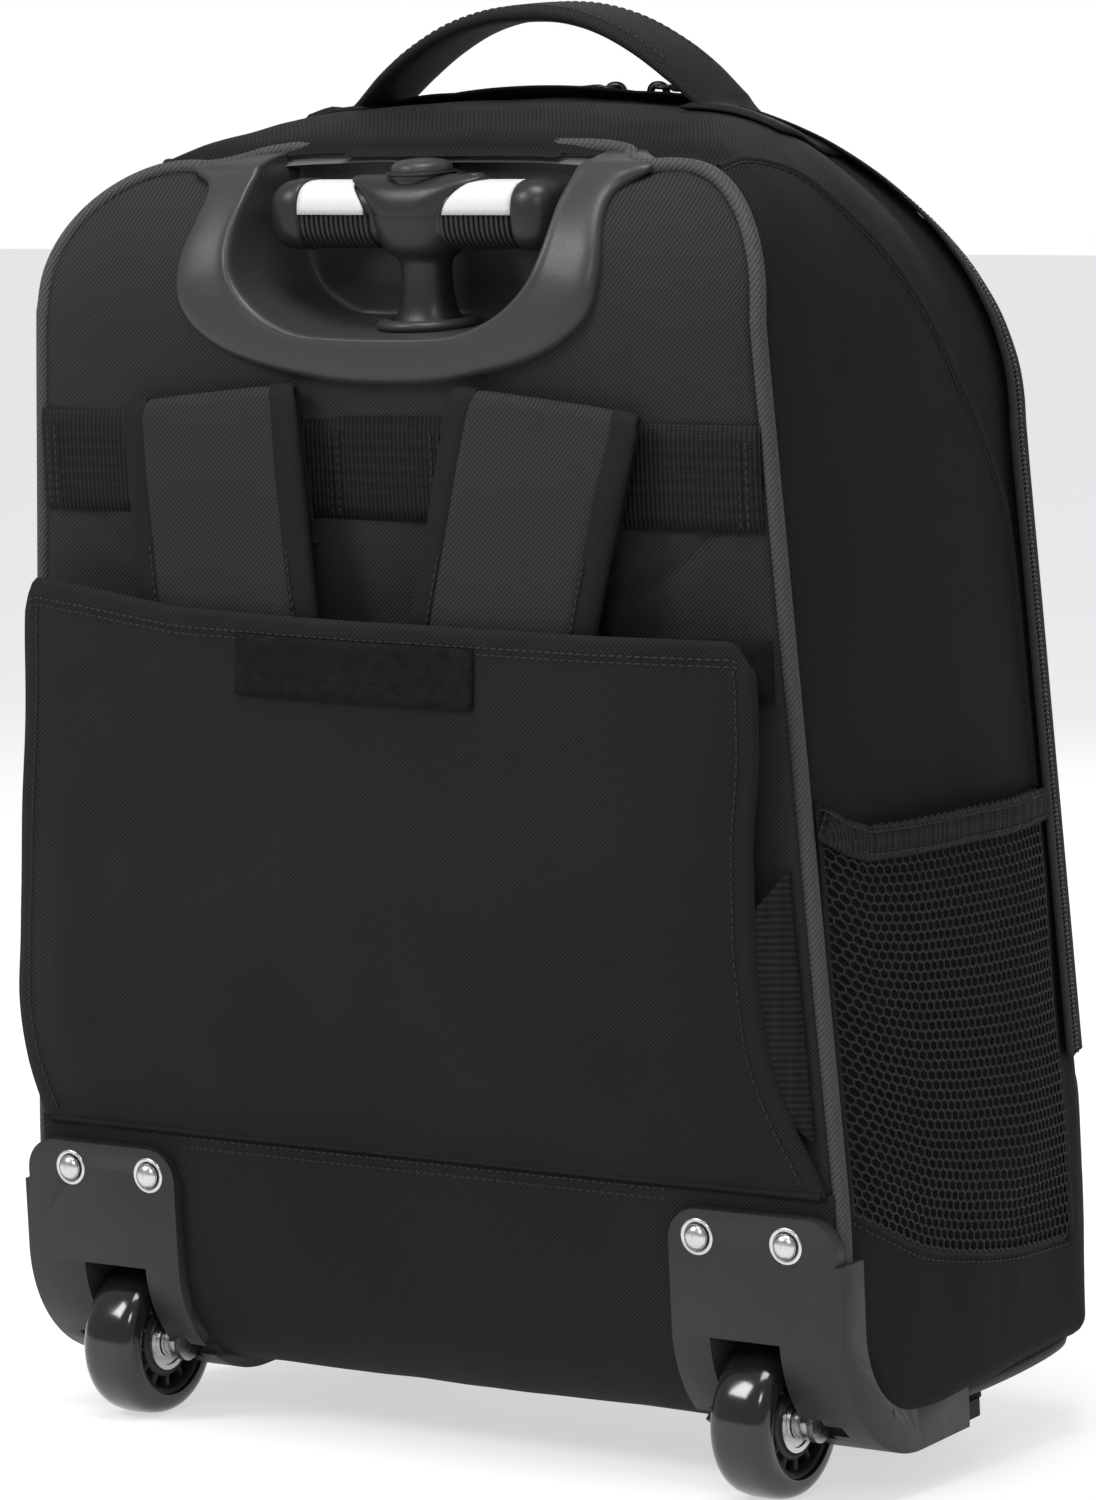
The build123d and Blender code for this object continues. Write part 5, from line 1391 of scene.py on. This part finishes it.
core = along_x("grip_core", [(x, 11.4, 10.9) for x in np.linspace(-50, 50, 30)])
DOME = [(46.4, 11.6, 11.1), (46.5, 12.7, 12.2), (47.4, 13.2, 12.7), (52, 13.3, 12.8), (56, 12.6, 12.1),
        (58.8, 10.9, 10.5), (60.6, 8.2, 7.9), (61.4, 4.6, 4.4), (61.6, 1.2, 1.1)]
caps = [along_x(f"cap_{s}", [(s * x, y, z) for x, y, z in DOME]) for s in (-1, 1)]
ribs = []
for s in (-1, 1):
    for k in range(14):
        x = s * (16.5 + k * 2.15)
        turn = np.linspace(math.pi * 0.985, math.pi * 2.015, 26)
        c, n = np.cos(turn), np.sin(turn)
        rib_path = np.stack([np.full(26, x), GRIP_Y + 11.9 * np.sign(c) * np.abs(c) ** 0.74,
                             GRIP_Z + 11.4 * np.sign(n) * np.abs(n) ** 0.74], 1)
        ribs.append(sweep(f"rib_{s}_{k}", rib_path, round_section(0.86, 8), (1, 0, 0)))

hub_sections = [
    (409.4, 16.4, 13.4), (411, 14.4, 11.6), (414, 11.8, 9.6), (419, 9.9, 8.3), (426, 9.2, 7.8),
    (432, 9.2, 7.9), (434.6, 9.8, 8.4), (436.4, 12.4, 10.4), (438.4, 15.0, 12.2), (442, 16.4, 13.3),
    (447, 17.2, 14.1), (450.2, 17.6, 14.4), (450.8, 17.2, 14.0), (451.4, 17.7, 14.5),
    (454.5, 19.2, 14.4), (458, 22.2, 13.4), (460.6, 25.6, 11.8), (462.6, 28.2, 9.4),
    (463.9, 28.8, 6.6), (464.5, 27.4, 3.8), (464.7, 22, 1.6),
]
HUB_SIDES = 56
hub_rings = []
for z, hx, hy in hub_sections:
    mix = np.clip((z - 436) / 12, 0, 1)
    centre_y = POST_Y * (1 - mix) + GRIP_Y * mix
    ring = squircle(hx, hy, 2.3 + 0.7 * mix, HUB_SIDES)
    hub_rings.append(np.stack([ring[:, 0], centre_y + ring[:, 1], np.full(HUB_SIDES, z)], 1))
hub_faces = grid_faces(len(hub_rings), HUB_SIDES, False, True) + end_caps(len(hub_rings), HUB_SIDES)
hub = from_arrays("grip_hub", np.concatenate(hub_rings), hub_faces)
subdivide(hub)
button_ring = lathe("button_ring", [(463.0, 10.0), (464.6, 12.2), (465.4, 13.0), (465.7, 12.6), (465.2, 11.9),
                                    (463.4, 11.8)], (0, POST_Y, 0), "z", 64)
screw_seat = lathe("screw_seat", [(464.1, 0.4), (464.25, 2.2), (464.9, 3.0), (464.9, 3.6), (464.0, 3.9)],
                   (22.5, GRIP_Y + 1, 0), "z", 32)
grip_body = joined("grip_body", [core, *caps, *ribs, hub, button_ring, screw_seat])
finish_piece(grip_body, M["grip_plastic"], "inner_stage")
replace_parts(grip_body, "grip_lower", "grip_upper")

inlays = []
for s in (-1, 1):
    rows = []
    turn = np.linspace(0.02, math.pi - 0.02, 25)
    c, n = np.cos(turn), np.sin(turn)
    height = np.abs(n) ** (2 / 2.7)
    start = 17.0 + 8.6 * height**1.8
    for t in np.linspace(0, 1, 12):
        x = start + (46.2 - start) * t
        rows.append(np.stack([s * x, GRIP_Y + 12.75 * np.sign(c) * np.abs(c) ** (2 / 2.7),
                              GRIP_Z + 12.2 * height], 1))
    plate = surface(f"inlay_{s}", np.array(rows))
    with mesh_edit(plate.data) as data:
        bmesh.ops.recalc_face_normals(data, faces=data.faces)
        if sum(f.normal.z for f in data.faces) < 0:
            bmesh.ops.reverse_faces(data, faces=data.faces)
    thicken(plate, 1.1)
    inlays.append(plate)
silver = joined("grip_silver", inlays)
finish_piece(silver, M["inlay"], "inner_stage")
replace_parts(silver, "grip_inlays")

BUTTON = [(459.0, 11.0), (466.2, 11.2), (467.6, 11.0), (468.8, 9.9), (469.7, 7.6), (470.2, 4.2),
          (470.35, 0.2)]
button = lathe("button_cap", BUTTON, (0, POST_Y, 0), "z", 72)
finish_piece(button, M["cup_plastic"], "button")
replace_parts(button, "release_button")

# ---------------------------------------------------------------- carry handle
LOOP_ROUTE = [
    (-104, 474.5), (-94, 477.0), (-84, 479.6), (-75, 484.5), (-63, 494.5), (-50, 503.5), (-34, 511.5),
    (-17, 516.2), (0, 517.6), (17, 516.6), (34, 512), (50, 504), (63, 495), (75, 485), (84, 479.8),
    (94, 477.0), (104, 474.5),
]
LOOP_ROWS, LOOP_SIDES = 150, 36
HANDLE_Y = 100.0
loop_path = spline([(x, HANDLE_Y, z) for x, z in LOOP_ROUTE], LOOP_ROWS)
loop_run = tangents_of(loop_path)
loop_out = np.stack([-loop_run[:, 2], 0 * loop_run[:, 0], loop_run[:, 0]], 1)
away = np.abs(loop_path[:, 0])
loop_width = np.interp(away, [0, 40, 62, 78, 104], [33, 36, 37, 34, 30])
loop_thick = np.interp(away, [0, 55, 72, 84, 104], [3.4, 3.2, 2.6, 1.6, 1.0])
turn = np.linspace(0, 2 * math.pi, LOOP_SIDES, endpoint=False)
c, n = np.cos(turn), np.sin(turn)
flat_x = np.sign(c) * np.abs(c) ** 0.55
flat_o = np.sign(n) * np.abs(n) ** 0.75
loop_grid = (
    loop_path[:, None] + np.array([0, 1.0, 0]) * (flat_x[None] * loop_width[:, None] / 2)[..., None]
    + loop_out[:, None] * (flat_o[None] * loop_thick[:, None])[..., None]
)
for i, j in np.ndindex(LOOP_ROWS, LOOP_SIDES):
    x, y, z = loop_grid[i, j]
    hold = np.clip((abs(x) - 76) / 10, 0, 1)
    if hold > 0:
        spot = body_tree.ray_cast(Vector((x, y, 700)), Vector((0, 0, -1)))[0]
        proud = 1.2 + (1.6 if flat_o[j] > 0 else -1.0) - 4.5 * np.clip((abs(x) - 98) / 6, 0, 1)
        loop_grid[i, j, 2] = z * (1 - hold) + (spot.z + proud) * hold
loop_faces = grid_faces(LOOP_ROWS, LOOP_SIDES, False, True) + end_caps(LOOP_ROWS, LOOP_SIDES)
handle = from_arrays("carry_handle_loop", loop_grid.reshape(-1, 3), loop_faces)
finish_piece(handle, M["black_fabric"], None)
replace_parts(handle, "carry_handle")
handle_pieces = [handle]
for k, e in enumerate((-1, 1)):
    line = loop_path + np.array([0, 1.0, 0]) * (e * (loop_width / 2 - 4.5))[:, None]
    line = line + loop_out * (loop_thick * 0.86)[:, None]
    handle_pieces.append(sew(f"handle_thread_{k}", line[30:-30], loop_out[30], 3.4, 0.42, 0.12, None))
for piece in handle_pieces:
    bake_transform(piece)

anchors = []
for k, s in enumerate((-1, 1)):
    ax, ay = np.meshgrid(np.linspace(70, 112, 16), np.linspace(80, 120, 14), indexing="ij")
    top_spots = []
    for x, y in zip(ax.ravel(), ay.ravel()):
        spot, normal, _, _ = body_tree.ray_cast(Vector((s * x, y, 700)), Vector((0, 0, -1)))
        fade = min(1, (20.5 - abs(y - 100)) / 2.0, (x - 69.5) / 2.0, (112.5 - x) / 2.0)
        top_spots.append(np.array(spot + normal * (0.3 + 1.3 * max(fade, 0)) * (1 if normal.z > 0 else -1)))
    pad = surface(f"anchor_{k}", np.array(top_spots).reshape(16, 14, 3), 1.0)
    anchors.append(pad)
handle_feet = joined("handle_anchor_patches", anchors)
finish_piece(handle_feet, M["binding"], "bag")
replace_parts(handle_feet, "handle_anchors")

# ---------------------------------------------------------------- front pockets
POCKET_BACK_Y = 158.0
POCKET_POWER = 4.2
POCKET_SIDES = 61


def pocket(name, rows):
    """A bellied pocket: rows are (z, y of its face, half width); it closes onto the bag behind."""
    turn = np.linspace(0, math.pi, POCKET_SIDES)
    c, n = np.cos(turn), np.sin(turn)
    rings = []
    for z, y, w in rows:
        x = -w * np.sign(c) * np.abs(c) ** (2 / POCKET_POWER)
        depth = POCKET_BACK_Y + (y - POCKET_BACK_Y) * np.abs(n) ** (2 / POCKET_POWER)
        rings.append(np.stack([x, depth, np.full(POCKET_SIDES, z)], 1))
    starts = [r * POCKET_SIDES for r in range(len(rings))]
    back_edge = tuple(start + POCKET_SIDES - 1 for start in starts) + tuple(reversed(starts))
    faces = grid_faces(len(rings), POCKET_SIDES) + [back_edge] + end_caps(len(rings), POCKET_SIDES)
    return from_arrays(name, np.concatenate(rings), faces)


def puff(obj, voxel=5.0, pressure=4.0, cap=8.0, keep=None):
    """Cloth pressure on a remeshed copy, its motion capped, with points in keep(z) held."""
    remesh = obj.modifiers.new("remesh", "REMESH")
    remesh.mode = "VOXEL"
    remesh.voxel_size = voxel / 1000
    apply_modifiers(obj)
    before = np.array([v.co for v in obj.data.vertices])
    if keep is not None:
        held = obj.vertex_groups.new(name="held")
        held.add([i for i, p in enumerate(before) if keep(p)], 1.0, "REPLACE")
    cloth = obj.modifiers.new("cloth", "CLOTH")
    cloth.settings.use_pressure = True
    cloth.settings.uniform_pressure_force = pressure
    cloth.settings.effector_weights.gravity = 0
    cloth.settings.tension_stiffness = 12
    cloth.settings.bending_stiffness = 1.5
    if keep is not None:
        cloth.settings.vertex_group_mass = "held"
    stage_scene = bpy.context.scene
    for step in range(1, 21):
        stage_scene.frame_set(step)
    graph = bpy.context.evaluated_depsgraph_get()
    settled = obj.evaluated_get(graph).to_mesh()
    after = np.array([v.co for v in settled.vertices])
    move = after - before
    size = np.linalg.norm(move, axis=1)
    scale_back = np.minimum(1, cap / 1000 / np.maximum(size, 1e-9))[:, None]
    obj.modifiers.clear()
    obj.vertex_groups.clear()
    obj.data.vertices.foreach_set("co", (before + move * scale_back).ravel())
    obj.data.update()
    stage_scene.frame_set(1)
    subdivide(obj)
    return obj


UPPER_ROWS = [(133, 190, 158), (134.5, 196, 163), (142, 198, 165), (158, 196.5, 165), (176, 193, 164),
              (200, 188, 163), (225, 181, 160), (240, 176, 156), (248, 170, 150), (251, 163, 144)]
LOWER_ROWS = [(27, 176, 152), (28, 188, 160), (33, 196, 164), (46, 200, 166), (70, 201.5, 167),
              (95, 201, 167), (115, 199, 167), (125, 196, 165), (129, 188, 161)]
upper = pocket("upper_pocket_puff", spline(UPPER_ROWS, 40))
lower = pocket("lower_pocket_puff", spline(LOWER_ROWS, 40))
for obj in (upper, lower):
    puff(obj, 5.0, 3.0, 5.0, lambda p: (np.array(p) - FOOT_OF_BAG) @ DEEP < 0.168)
finish_piece(upper, M["grey_fabric"], "lid")
finish_piece(lower, M["black_fabric"], "bag")
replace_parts(upper, "upper_pocket")
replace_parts(lower, "lower_pocket")


def tree_of(obj):
    """A search tree of a piece's mesh in row metres."""
    data = bmesh.new()
    data.from_mesh(obj.data)
    tree = bvhtree.BVHTree.FromBMesh(data)
    data.free()
    return tree


def front_path(tree, xz, lift=0.2):
    """A path on a front pocket, from (x, z) points cast from ahead."""
    spots, normals = [], []
    for x, z in xz:
        spot, normal, _, _ = tree.ray_cast(Vector(place(x, 400, z)), Vector(-DEEP))
        if spot is None:
            spot, normal, _, _ = tree.find_nearest(Vector(place(x, 190, z)))
        bag_normal = np.array([normal.x, np.array(normal) @ DEEP, np.array(normal) @ UP])
        if bag_normal[1] < 0:
            bag_normal = -bag_normal
        spots.append(to_bag(np.array(spot)) + bag_normal * lift)
        normals.append(bag_normal)
    return np.array(spots), np.array(normals)


def slider_on(name, spot, normal, along):
    """A zip slider: body, bridge and crown, pointing along the zip."""
    normal = np.asarray(normal, float) / np.linalg.norm(normal)
    along = np.asarray(along, float)
    along = along - normal * (along @ normal)
    along /= np.linalg.norm(along)
    across = np.cross(normal, along)
    outline = np.array([(-5.2, -2.6), (-5.2, 2.6), (-2, 3.6), (3.4, 4.2), (5.2, 3.2), (5.6, 0), (5.2, -3.2),
                        (3.4, -4.2), (-2, -3.6)])
    rings = []
    for h, k in ((0, 0.92), (0.5, 1), (2.1, 1), (2.6, 0.86)):
        rings.append([spot + along * a * k + across * b * k + normal * h for a, b in outline])
    points = np.array(rings).reshape(-1, 3)
    faces = grid_faces(4, 9, False, True) + end_caps(4, 9)
    plate = from_arrays(f"{name}_plate", points, faces)
    arch = np.array([spot + along * a + normal * h for a, h in
                     ((-3.8, 2.0), (-3.4, 4.2), (-1.6, 5.4), (1.0, 5.4), (2.6, 4.4), (3.4, 2.2))])
    bar = [(1.3, 0.6), (-1.3, 0.6), (-1.3, -0.6), (1.3, -0.6)]
    bridge = sweep(f"{name}_bridge", spline(arch, 20), bar, across)
    return joined(name, [plate, bridge])


TAB_START = 6.4
TAB_WIDTH = 8.0


def tab_on(name, root, direction, normal, body, length=30.0):
    """A zip pull: a wire ring and a moulded tab with a raised rim."""
    direction = np.asarray(direction, float) / np.linalg.norm(direction)
    normal = np.asarray(normal, float) / np.linalg.norm(normal)
    across = np.cross(normal, direction)
    ring_turn = np.linspace(0, 2 * math.pi, 28, endpoint=False)
    wire = np.array([root + direction * (3.4 + 5.0 * math.cos(a)) + across * 3.1 * math.sin(a)
                     for a in ring_turn])
    loop_wire = sweep(f"{name}_wire", wire, round_section(0.75, 8), normal, closed=True)
    stations = [(0, 0.42, 0.9), (0.04, 0.62, 1.3), (0.17, 0.78, 1.6), (0.32, 0.96, 1.5), (0.5, 1.0, 1.35),
                (0.74, 1.0, 1.4), (0.92, 0.86, 1.4), (0.975, 0.6, 1.1), (1, 0.3, 0.6)]
    rings = []
    for share, w, t in stations:
        along = TAB_START + share * (length - TAB_START)
        ring = squircle(TAB_WIDTH / 2 * w, t, 3.2, 24)
        rings.append([root + direction * along + across * a + normal * b for a, b in ring])
    faces = grid_faces(len(rings), 24, False, True) + end_caps(len(rings), 24)
    tab = from_arrays(f"{name}_tab", np.array(rings).reshape(-1, 3), faces)
    subdivide(tab)
    finish_piece(loop_wire, M["zip_metal"], body)
    finish_piece(tab, M["pull_rubber"], body)
    return tab


upper_tree, lower_tree = tree_of(upper), tree_of(lower)
ARCH = [(140, 150), (140, 190), (132, 216), (110, 228), (60, 233)]
arch_zip = spline([*((-x, z) for x, z in ARCH), (0, 234), *reversed(ARCH)], 220)
spots, normals = front_path(upper_tree, arch_zip, 0.4)
zip_run("upper_zip", spots, normals, ("lid", "lid"), 9.0)
pocket_slider = slider_on("upper_slider", spots[30], normals[30], spots[31] - spots[29])
finish_piece(pocket_slider, M["zip_metal"], "lid")
tab_on("upper_pull", spots[30] + normals[30] * 4.4, (0.1, 0.1, -1), normals[30], "lid", 30)
lower_zip = spline([(-150, 108), (-75, 112), (0, 113), (75, 112), (150, 108)], 160)
spots, normals = front_path(lower_tree, lower_zip, 0.4)
zip_run("lower_zip", spots, normals, ("bag", "bag"), 9.0)
pocket_slider = slider_on("lower_slider", spots[14], normals[14], spots[15] - spots[13])
finish_piece(pocket_slider, M["zip_metal"], "bag")
tab_on("lower_pull", spots[14] + normals[14] * 4.4, (0.15, 0.1, -1), normals[14], "bag", 30)
for tree, pocket_name, seam_z, body in ((upper_tree, "upper", 141, "lid"), (lower_tree, "lower", 38, "bag")):
    spots, normals = front_path(tree, [(x, seam_z) for x in np.linspace(-150, 150, 120)], 0.1)
    for k, drop in enumerate((0, 3.0)):
        row = spots + np.array([0, 0, drop])
        sew(f"{pocket_name}_hem_{k}", row, normals[60], 3.4, 0.42, 0.2, body)

# ---------------------------------------------------------------- main zip sliders and pulls
TOP_PIN_Z = 489.6
SLIDER_Y = 112.0
SLIDER_X = (22.0, 40.0)
SIDE_PIN = (-169.9, 4.5, 303.0)
main_sliders = []
for k, x in enumerate(SLIDER_X):
    seat = np.array([x, SLIDER_Y, 484.4])
    main_sliders.append(slider_on(f"main_slider_{k}", seat, (0, 0, 1), (1 - 2 * k, 0, 0)))
side_spot = np.array([-165.6, 4.5, 305.0])
main_sliders.append(slider_on("side_slider", side_spot, (-1, 0, 0), (0, 0, 1)))
all_sliders = joined("zip_slider_set", main_sliders)
finish_piece(all_sliders, M["zip_metal"], "bag")
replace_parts(all_sliders, "zip_sliders")
# the tabs are short enough to clear the carry loop when lifted
for label, s, x, length in zip(("main_pull_left", "main_pull_right"), (-1, 1), SLIDER_X, (23.0, 18.0)):
    pin = np.array([x, SLIDER_Y, TOP_PIN_Z - 0.4])
    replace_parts(tab_on(label + "_part", pin, (s, 0, -0.05), (0, 0, 1), label, length), label)
side_tab = tab_on("side_pull_part", np.array(SIDE_PIN), (-0.06, 0, -1), (-1, 0, 0), "side_pull", 40)
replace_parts(side_tab, "side_pull")
side_zip = np.array([side_point(5.0, z, -1, 0.4) for z in np.linspace(112, 440, 160)])
zip_run("side_zip", side_zip, np.tile((-1.0, 0, 0), (160, 1)), ("bag", "bag"), 7.0)

# ---------------------------------------------------------------- wheels
def turned_part(name, side_x, profile, material, body):
    """A lathe piece on a wheel's axle; the profile's first value is measured outward along x."""
    s = 1 if side_x > 0 else -1
    piece = lathe(name, [(s * a, r) for a, r in profile], (side_x, 0, AXLE_Z), "x", 120)
    with mesh_edit(piece.data) as data:
        bmesh.ops.recalc_face_normals(data, faces=data.faces)
    return finish_piece(piece, material, body)


TYRE = [(-11.9, 20.3), (-12.0, 21.4), (-11.8, 23.2), (-10.8, 25.3), (-8.6, 26.9), (-5.2, 27.75), (0, 28.0),
        (5.2, 27.75), (8.6, 26.9), (10.8, 25.3), (11.8, 23.2), (12.0, 21.4), (11.9, 20.3), (10.8, 20.05),
        (0, 20.05), (-10.8, 20.05), (-11.9, 20.3)]
RIM = [(-10.6, 20.0), (-10.6, 18.0), (-9.4, 17.5), (-3, 17.2), (3, 17.2), (9.4, 17.5), (10.6, 18.0),
       (10.6, 20.0)]
NAVE = [(-9, 11.05), (-9, 13.2), (-8.2, 13.8), (8.2, 13.8), (9, 13.2), (9, 11.05), (-9, 11.05)]
SPOKE = ((12.9, 1.7), (14.4, 1.25), (16.4, 1.25), (18.2, 1.9))
SPOKES = 12
for side_name, s in SIDES:
    body = f"wheel_{side_name}"
    side_x = s * WHEEL_X
    tyre = turned_part(f"tyre_{side_name}_turned", side_x, spline(TYRE, 90), M["tyre"], body)
    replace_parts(tyre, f"tyre_{side_name}")
    hub_parts = [turned_part(f"rim_{side_name}", side_x, RIM, M["hub_plastic"], body)]
    hub_parts.append(turned_part(f"nave_{side_name}", side_x, NAVE, M["hub_plastic"], body))
    for k in range(SPOKES):
        turn = 2 * math.pi * k / SPOKES
        spoke_rings = []
        for r, w in SPOKE:
            ring = squircle(8.6, w, 4, 20)
            radial = np.array([0, math.cos(turn), math.sin(turn)])
            tangent = np.array([0, -math.sin(turn), math.cos(turn)])
            spoke_rings.append([np.array([side_x, 0, AXLE_Z]) + np.array([a, 0, 0]) + radial * r + tangent * b
                                for a, b in ring])
        spoke_points = np.array(spoke_rings).reshape(-1, 3)
        hub_parts.append(from_arrays(f"spoke_{side_name}_{k}", spoke_points, grid_faces(4, 20, False, True)))
    for part in hub_parts[:2]:
        part.parent = None
    hub_piece = joined(f"hub_{side_name}_spoked", hub_parts)
    finish_piece(hub_piece, M["hub_plastic"], body)
    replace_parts(hub_piece, f"hub_{side_name}")


# ---------------------------------------------------------------- CAD parts with worked edges
def softened(node, material, radius, body):
    """A piece with the CAD node's shape and rolled edges, standing in for it."""
    source = bpy.data.objects[node]
    mesh = source.data.copy()
    piece = new_object(f"{node}_worked", mesh)
    piece.matrix_world = source.matrix_world.copy()
    with mesh_edit(mesh) as data:
        bmesh.ops.remove_doubles(data, verts=data.verts, dist=1e-6)
        bmesh.ops.dissolve_limit(data, angle_limit=math.radians(1), verts=data.verts, edges=data.edges)
    bevel = piece.modifiers.new("edges", "BEVEL")
    bevel.width = radius / 1000
    bevel.segments = 3
    bevel.limit_method = "ANGLE"
    bevel.angle_limit = math.radians(35)
    bevel.harden_normals = True
    apply_modifiers(piece)
    shade_smooth(piece.data)
    finish_piece(piece, material, body)
    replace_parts(piece, node)


for side_name in ("left", "right"):
    softened(f"wheel_housing_{side_name}", M["housing_plastic"], 0.8, "bag")

CAD_FINISH = {
    "steel": ["axle_left", "axle_right", "bearings_left", "bearings_right", "fixing_screws", "button_spring",
              "push_rod", "upper_lock_pin", "lower_lock_pin"],
    "tube_metal": ["outer_tube", "middle_tube", "inner_tube", "tube_foot"],
    "hub_plastic": ["outer_collar", "middle_collar", "inner_shoe", "middle_shoe"],
    "rubber": ["foot_pads", "skids"],
    "housing_plastic": ["front_foot_left", "front_foot_right"],
    "board": ["base_board", "back_board"],
}
for key, nodes in CAD_FINISH.items():
    for node in nodes:
        mesh = bpy.data.objects[node].data
        mesh.materials.clear()
        mesh.materials.append(M[key])

# domed rivets on the guard plates
RIVET_Z = 96
RIVET_HEAD = [(-18.0, 2.2), (-18.1, 4.4), (-18.6, 4.75), (-19.4, 4.3), (-20.4, 3.2), (-20.9, 1.7),
              (-21.05, 0.15)]
RIVET_SEAT = [(-17.6, 4.6), (-18.15, 5.4), (-18.3, 6.1), (-18.1, 6.6), (-17.6, 6.8)]
heads = []
for x in (-157.5, -121, 121, 157.5):
    heads.append(lathe(f"rivet_{x}", RIVET_HEAD, (x, 0, RIVET_Z), "y", 40))
    heads.append(lathe(f"rivet_seat_{x}", RIVET_SEAT, (x, 0, RIVET_Z), "y", 40))
rivets = finish_piece(joined("plate_rivets", heads), M["steel"], "bag")
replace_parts(rivets, "housing_rivets")

# ---------------------------------------------------------------- inside the bag
LINER_Y = 42.5
lz, lx = np.meshgrid(np.linspace(34, 462, 60), np.linspace(-1, 1, 60), indexing="ij")
liner_x = lx * (panel_half(np.minimum(lz, 463), 8.0))
liner_grid = np.stack([liner_x, np.full(lz.shape, LINER_Y), lz], -1)
liner_edge = np.clip((1 - np.abs(lx)) / 0.08, 0, 1)
liner_grid[..., 1] += crease(liner_grid, 2.2, 21.0).reshape(lz.shape) * liner_edge
liner = surface("liner_cloth", liner_grid, 1.4)
finish_piece(liner, M["lining"], "bag")
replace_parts(liner, "inner_liner")
face = [(s, y) for s, y in zip((0.002, 0.16, 0.32, 0.48, 0.64, 0.78, 0.9, 0.97), [66.1] * 7 + [66.3])]
front = [(s, 137.1 - y) for s, y in face[::-1]]
sleeve_rows = []
for s, y in [*face, (0.995, 66.8), (1.0, 67.8), (1.0, 69.4), (0.995, 70.4), *front]:
    ring = squircle(154.5 * s, 144.5 * s, 9, 120)
    sleeve_rows.append(np.stack([ring[:, 0], np.full(120, y), 182 + ring[:, 1]], 1))
sleeve_faces = grid_faces(len(sleeve_rows), 120, False, True)
sleeve = from_arrays("laptop_sleeve_pad", np.concatenate(sleeve_rows), sleeve_faces)
puff(sleeve, 3.6, 4.0, 3.0)
finish_piece(sleeve, M["lining"], "bag")
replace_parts(sleeve, "laptop_sleeve")
SLEEVE_EDGE = [(154.5, 68.6, 300), (154, 68.6, 318), (138, 68.6, 326.8)]
sleeve_rim = [*((-x, y, z) for x, y, z in SLEEVE_EDGE), *reversed(SLEEVE_EDGE)]
rim = sweep("sleeve_binding", spline(sleeve_rim, 160), round_section(3.1, 10))
finish_piece(rim, M["binding"], "bag")

# ---------------------------------------------------------------- studio
scene = bpy.context.scene
scene.view_settings.view_transform = "Standard"


def area_light(name, place_at, aim, size, power):
    """A soft rectangular light aimed at a point."""
    light = bpy.data.lights.new(name, "AREA")
    light.shape = "RECTANGLE"
    light.size, light.size_y = size
    light.energy = power
    obj = bpy.data.objects.new(name, light)
    scene.collection.objects.link(obj)
    obj.location = place_at
    obj.rotation_euler = (Vector(aim) - Vector(place_at)).to_track_quat("-Z", "Y").to_euler()


area_light("key", (-1.3, -1.9, 2.1), (0, 0, 0.25), (0.8, 1.0), 40)
area_light("rim", (2.3, 1.3, 1.4), (0, 0, 0.35), (0.5, 1.6), 5)
area_light("front", (1.3, -2.3, 1.9), (0.1, 0, 0.38), (0.6, 0.6), 16)
area_light("top", (0.2, -0.5, 2.3), (0, 0, 0.3), (1.0, 1.0), 36)
area_light("behind", (-0.8, 2.4, 1.4), (0, 0, 0.3), (1.6, 1.2), 14)

# white for the camera, softer for what it lights
world = bpy.data.worlds.new("studio")
scene.world = world
world.use_nodes = True
sky = world.node_tree.nodes["Background"]
sky.inputs["Color"].default_value = (1, 1, 1, 1)
seen = add_node(world.node_tree, "LightPath").outputs["Is Camera Ray"]
level = maths(world.node_tree, "ADD", maths(world.node_tree, "MULTIPLY", seen, 0.62), 0.38)
world.node_tree.links.new(level, sky.inputs["Strength"])

floor_material, _, floor_shader = start_material("studio_floor", 0.85)
floor_shader.inputs["Base Color"].default_value = (0.45, 0.45, 0.45, 1)
floor_shader.inputs["Emission Color"].default_value = (1, 1, 1, 1)
floor_shader.inputs["Emission Strength"].default_value = 0.6
floor_mesh = bpy.data.meshes.new("floor")
floor_mesh.from_pydata([(-40, -40, 0), (40, -40, 0), (40, 40, 0), (-40, 40, 0)], [], [(0, 1, 2, 3)])
floor = new_object("floor", floor_mesh)
floor_mesh.materials.append(floor_material)

camera_data = bpy.data.cameras.new("camera")
camera_data.lens = 148.8
camera_data.sensor_width = 36
camera = bpy.data.objects.new("camera", camera_data)
camera.location = (1.277, -1.8994, 0.457)
camera.rotation_euler = (math.radians(90 - 5.11), 0, math.radians(34))
scene.collection.objects.link(camera)
scene.camera = camera
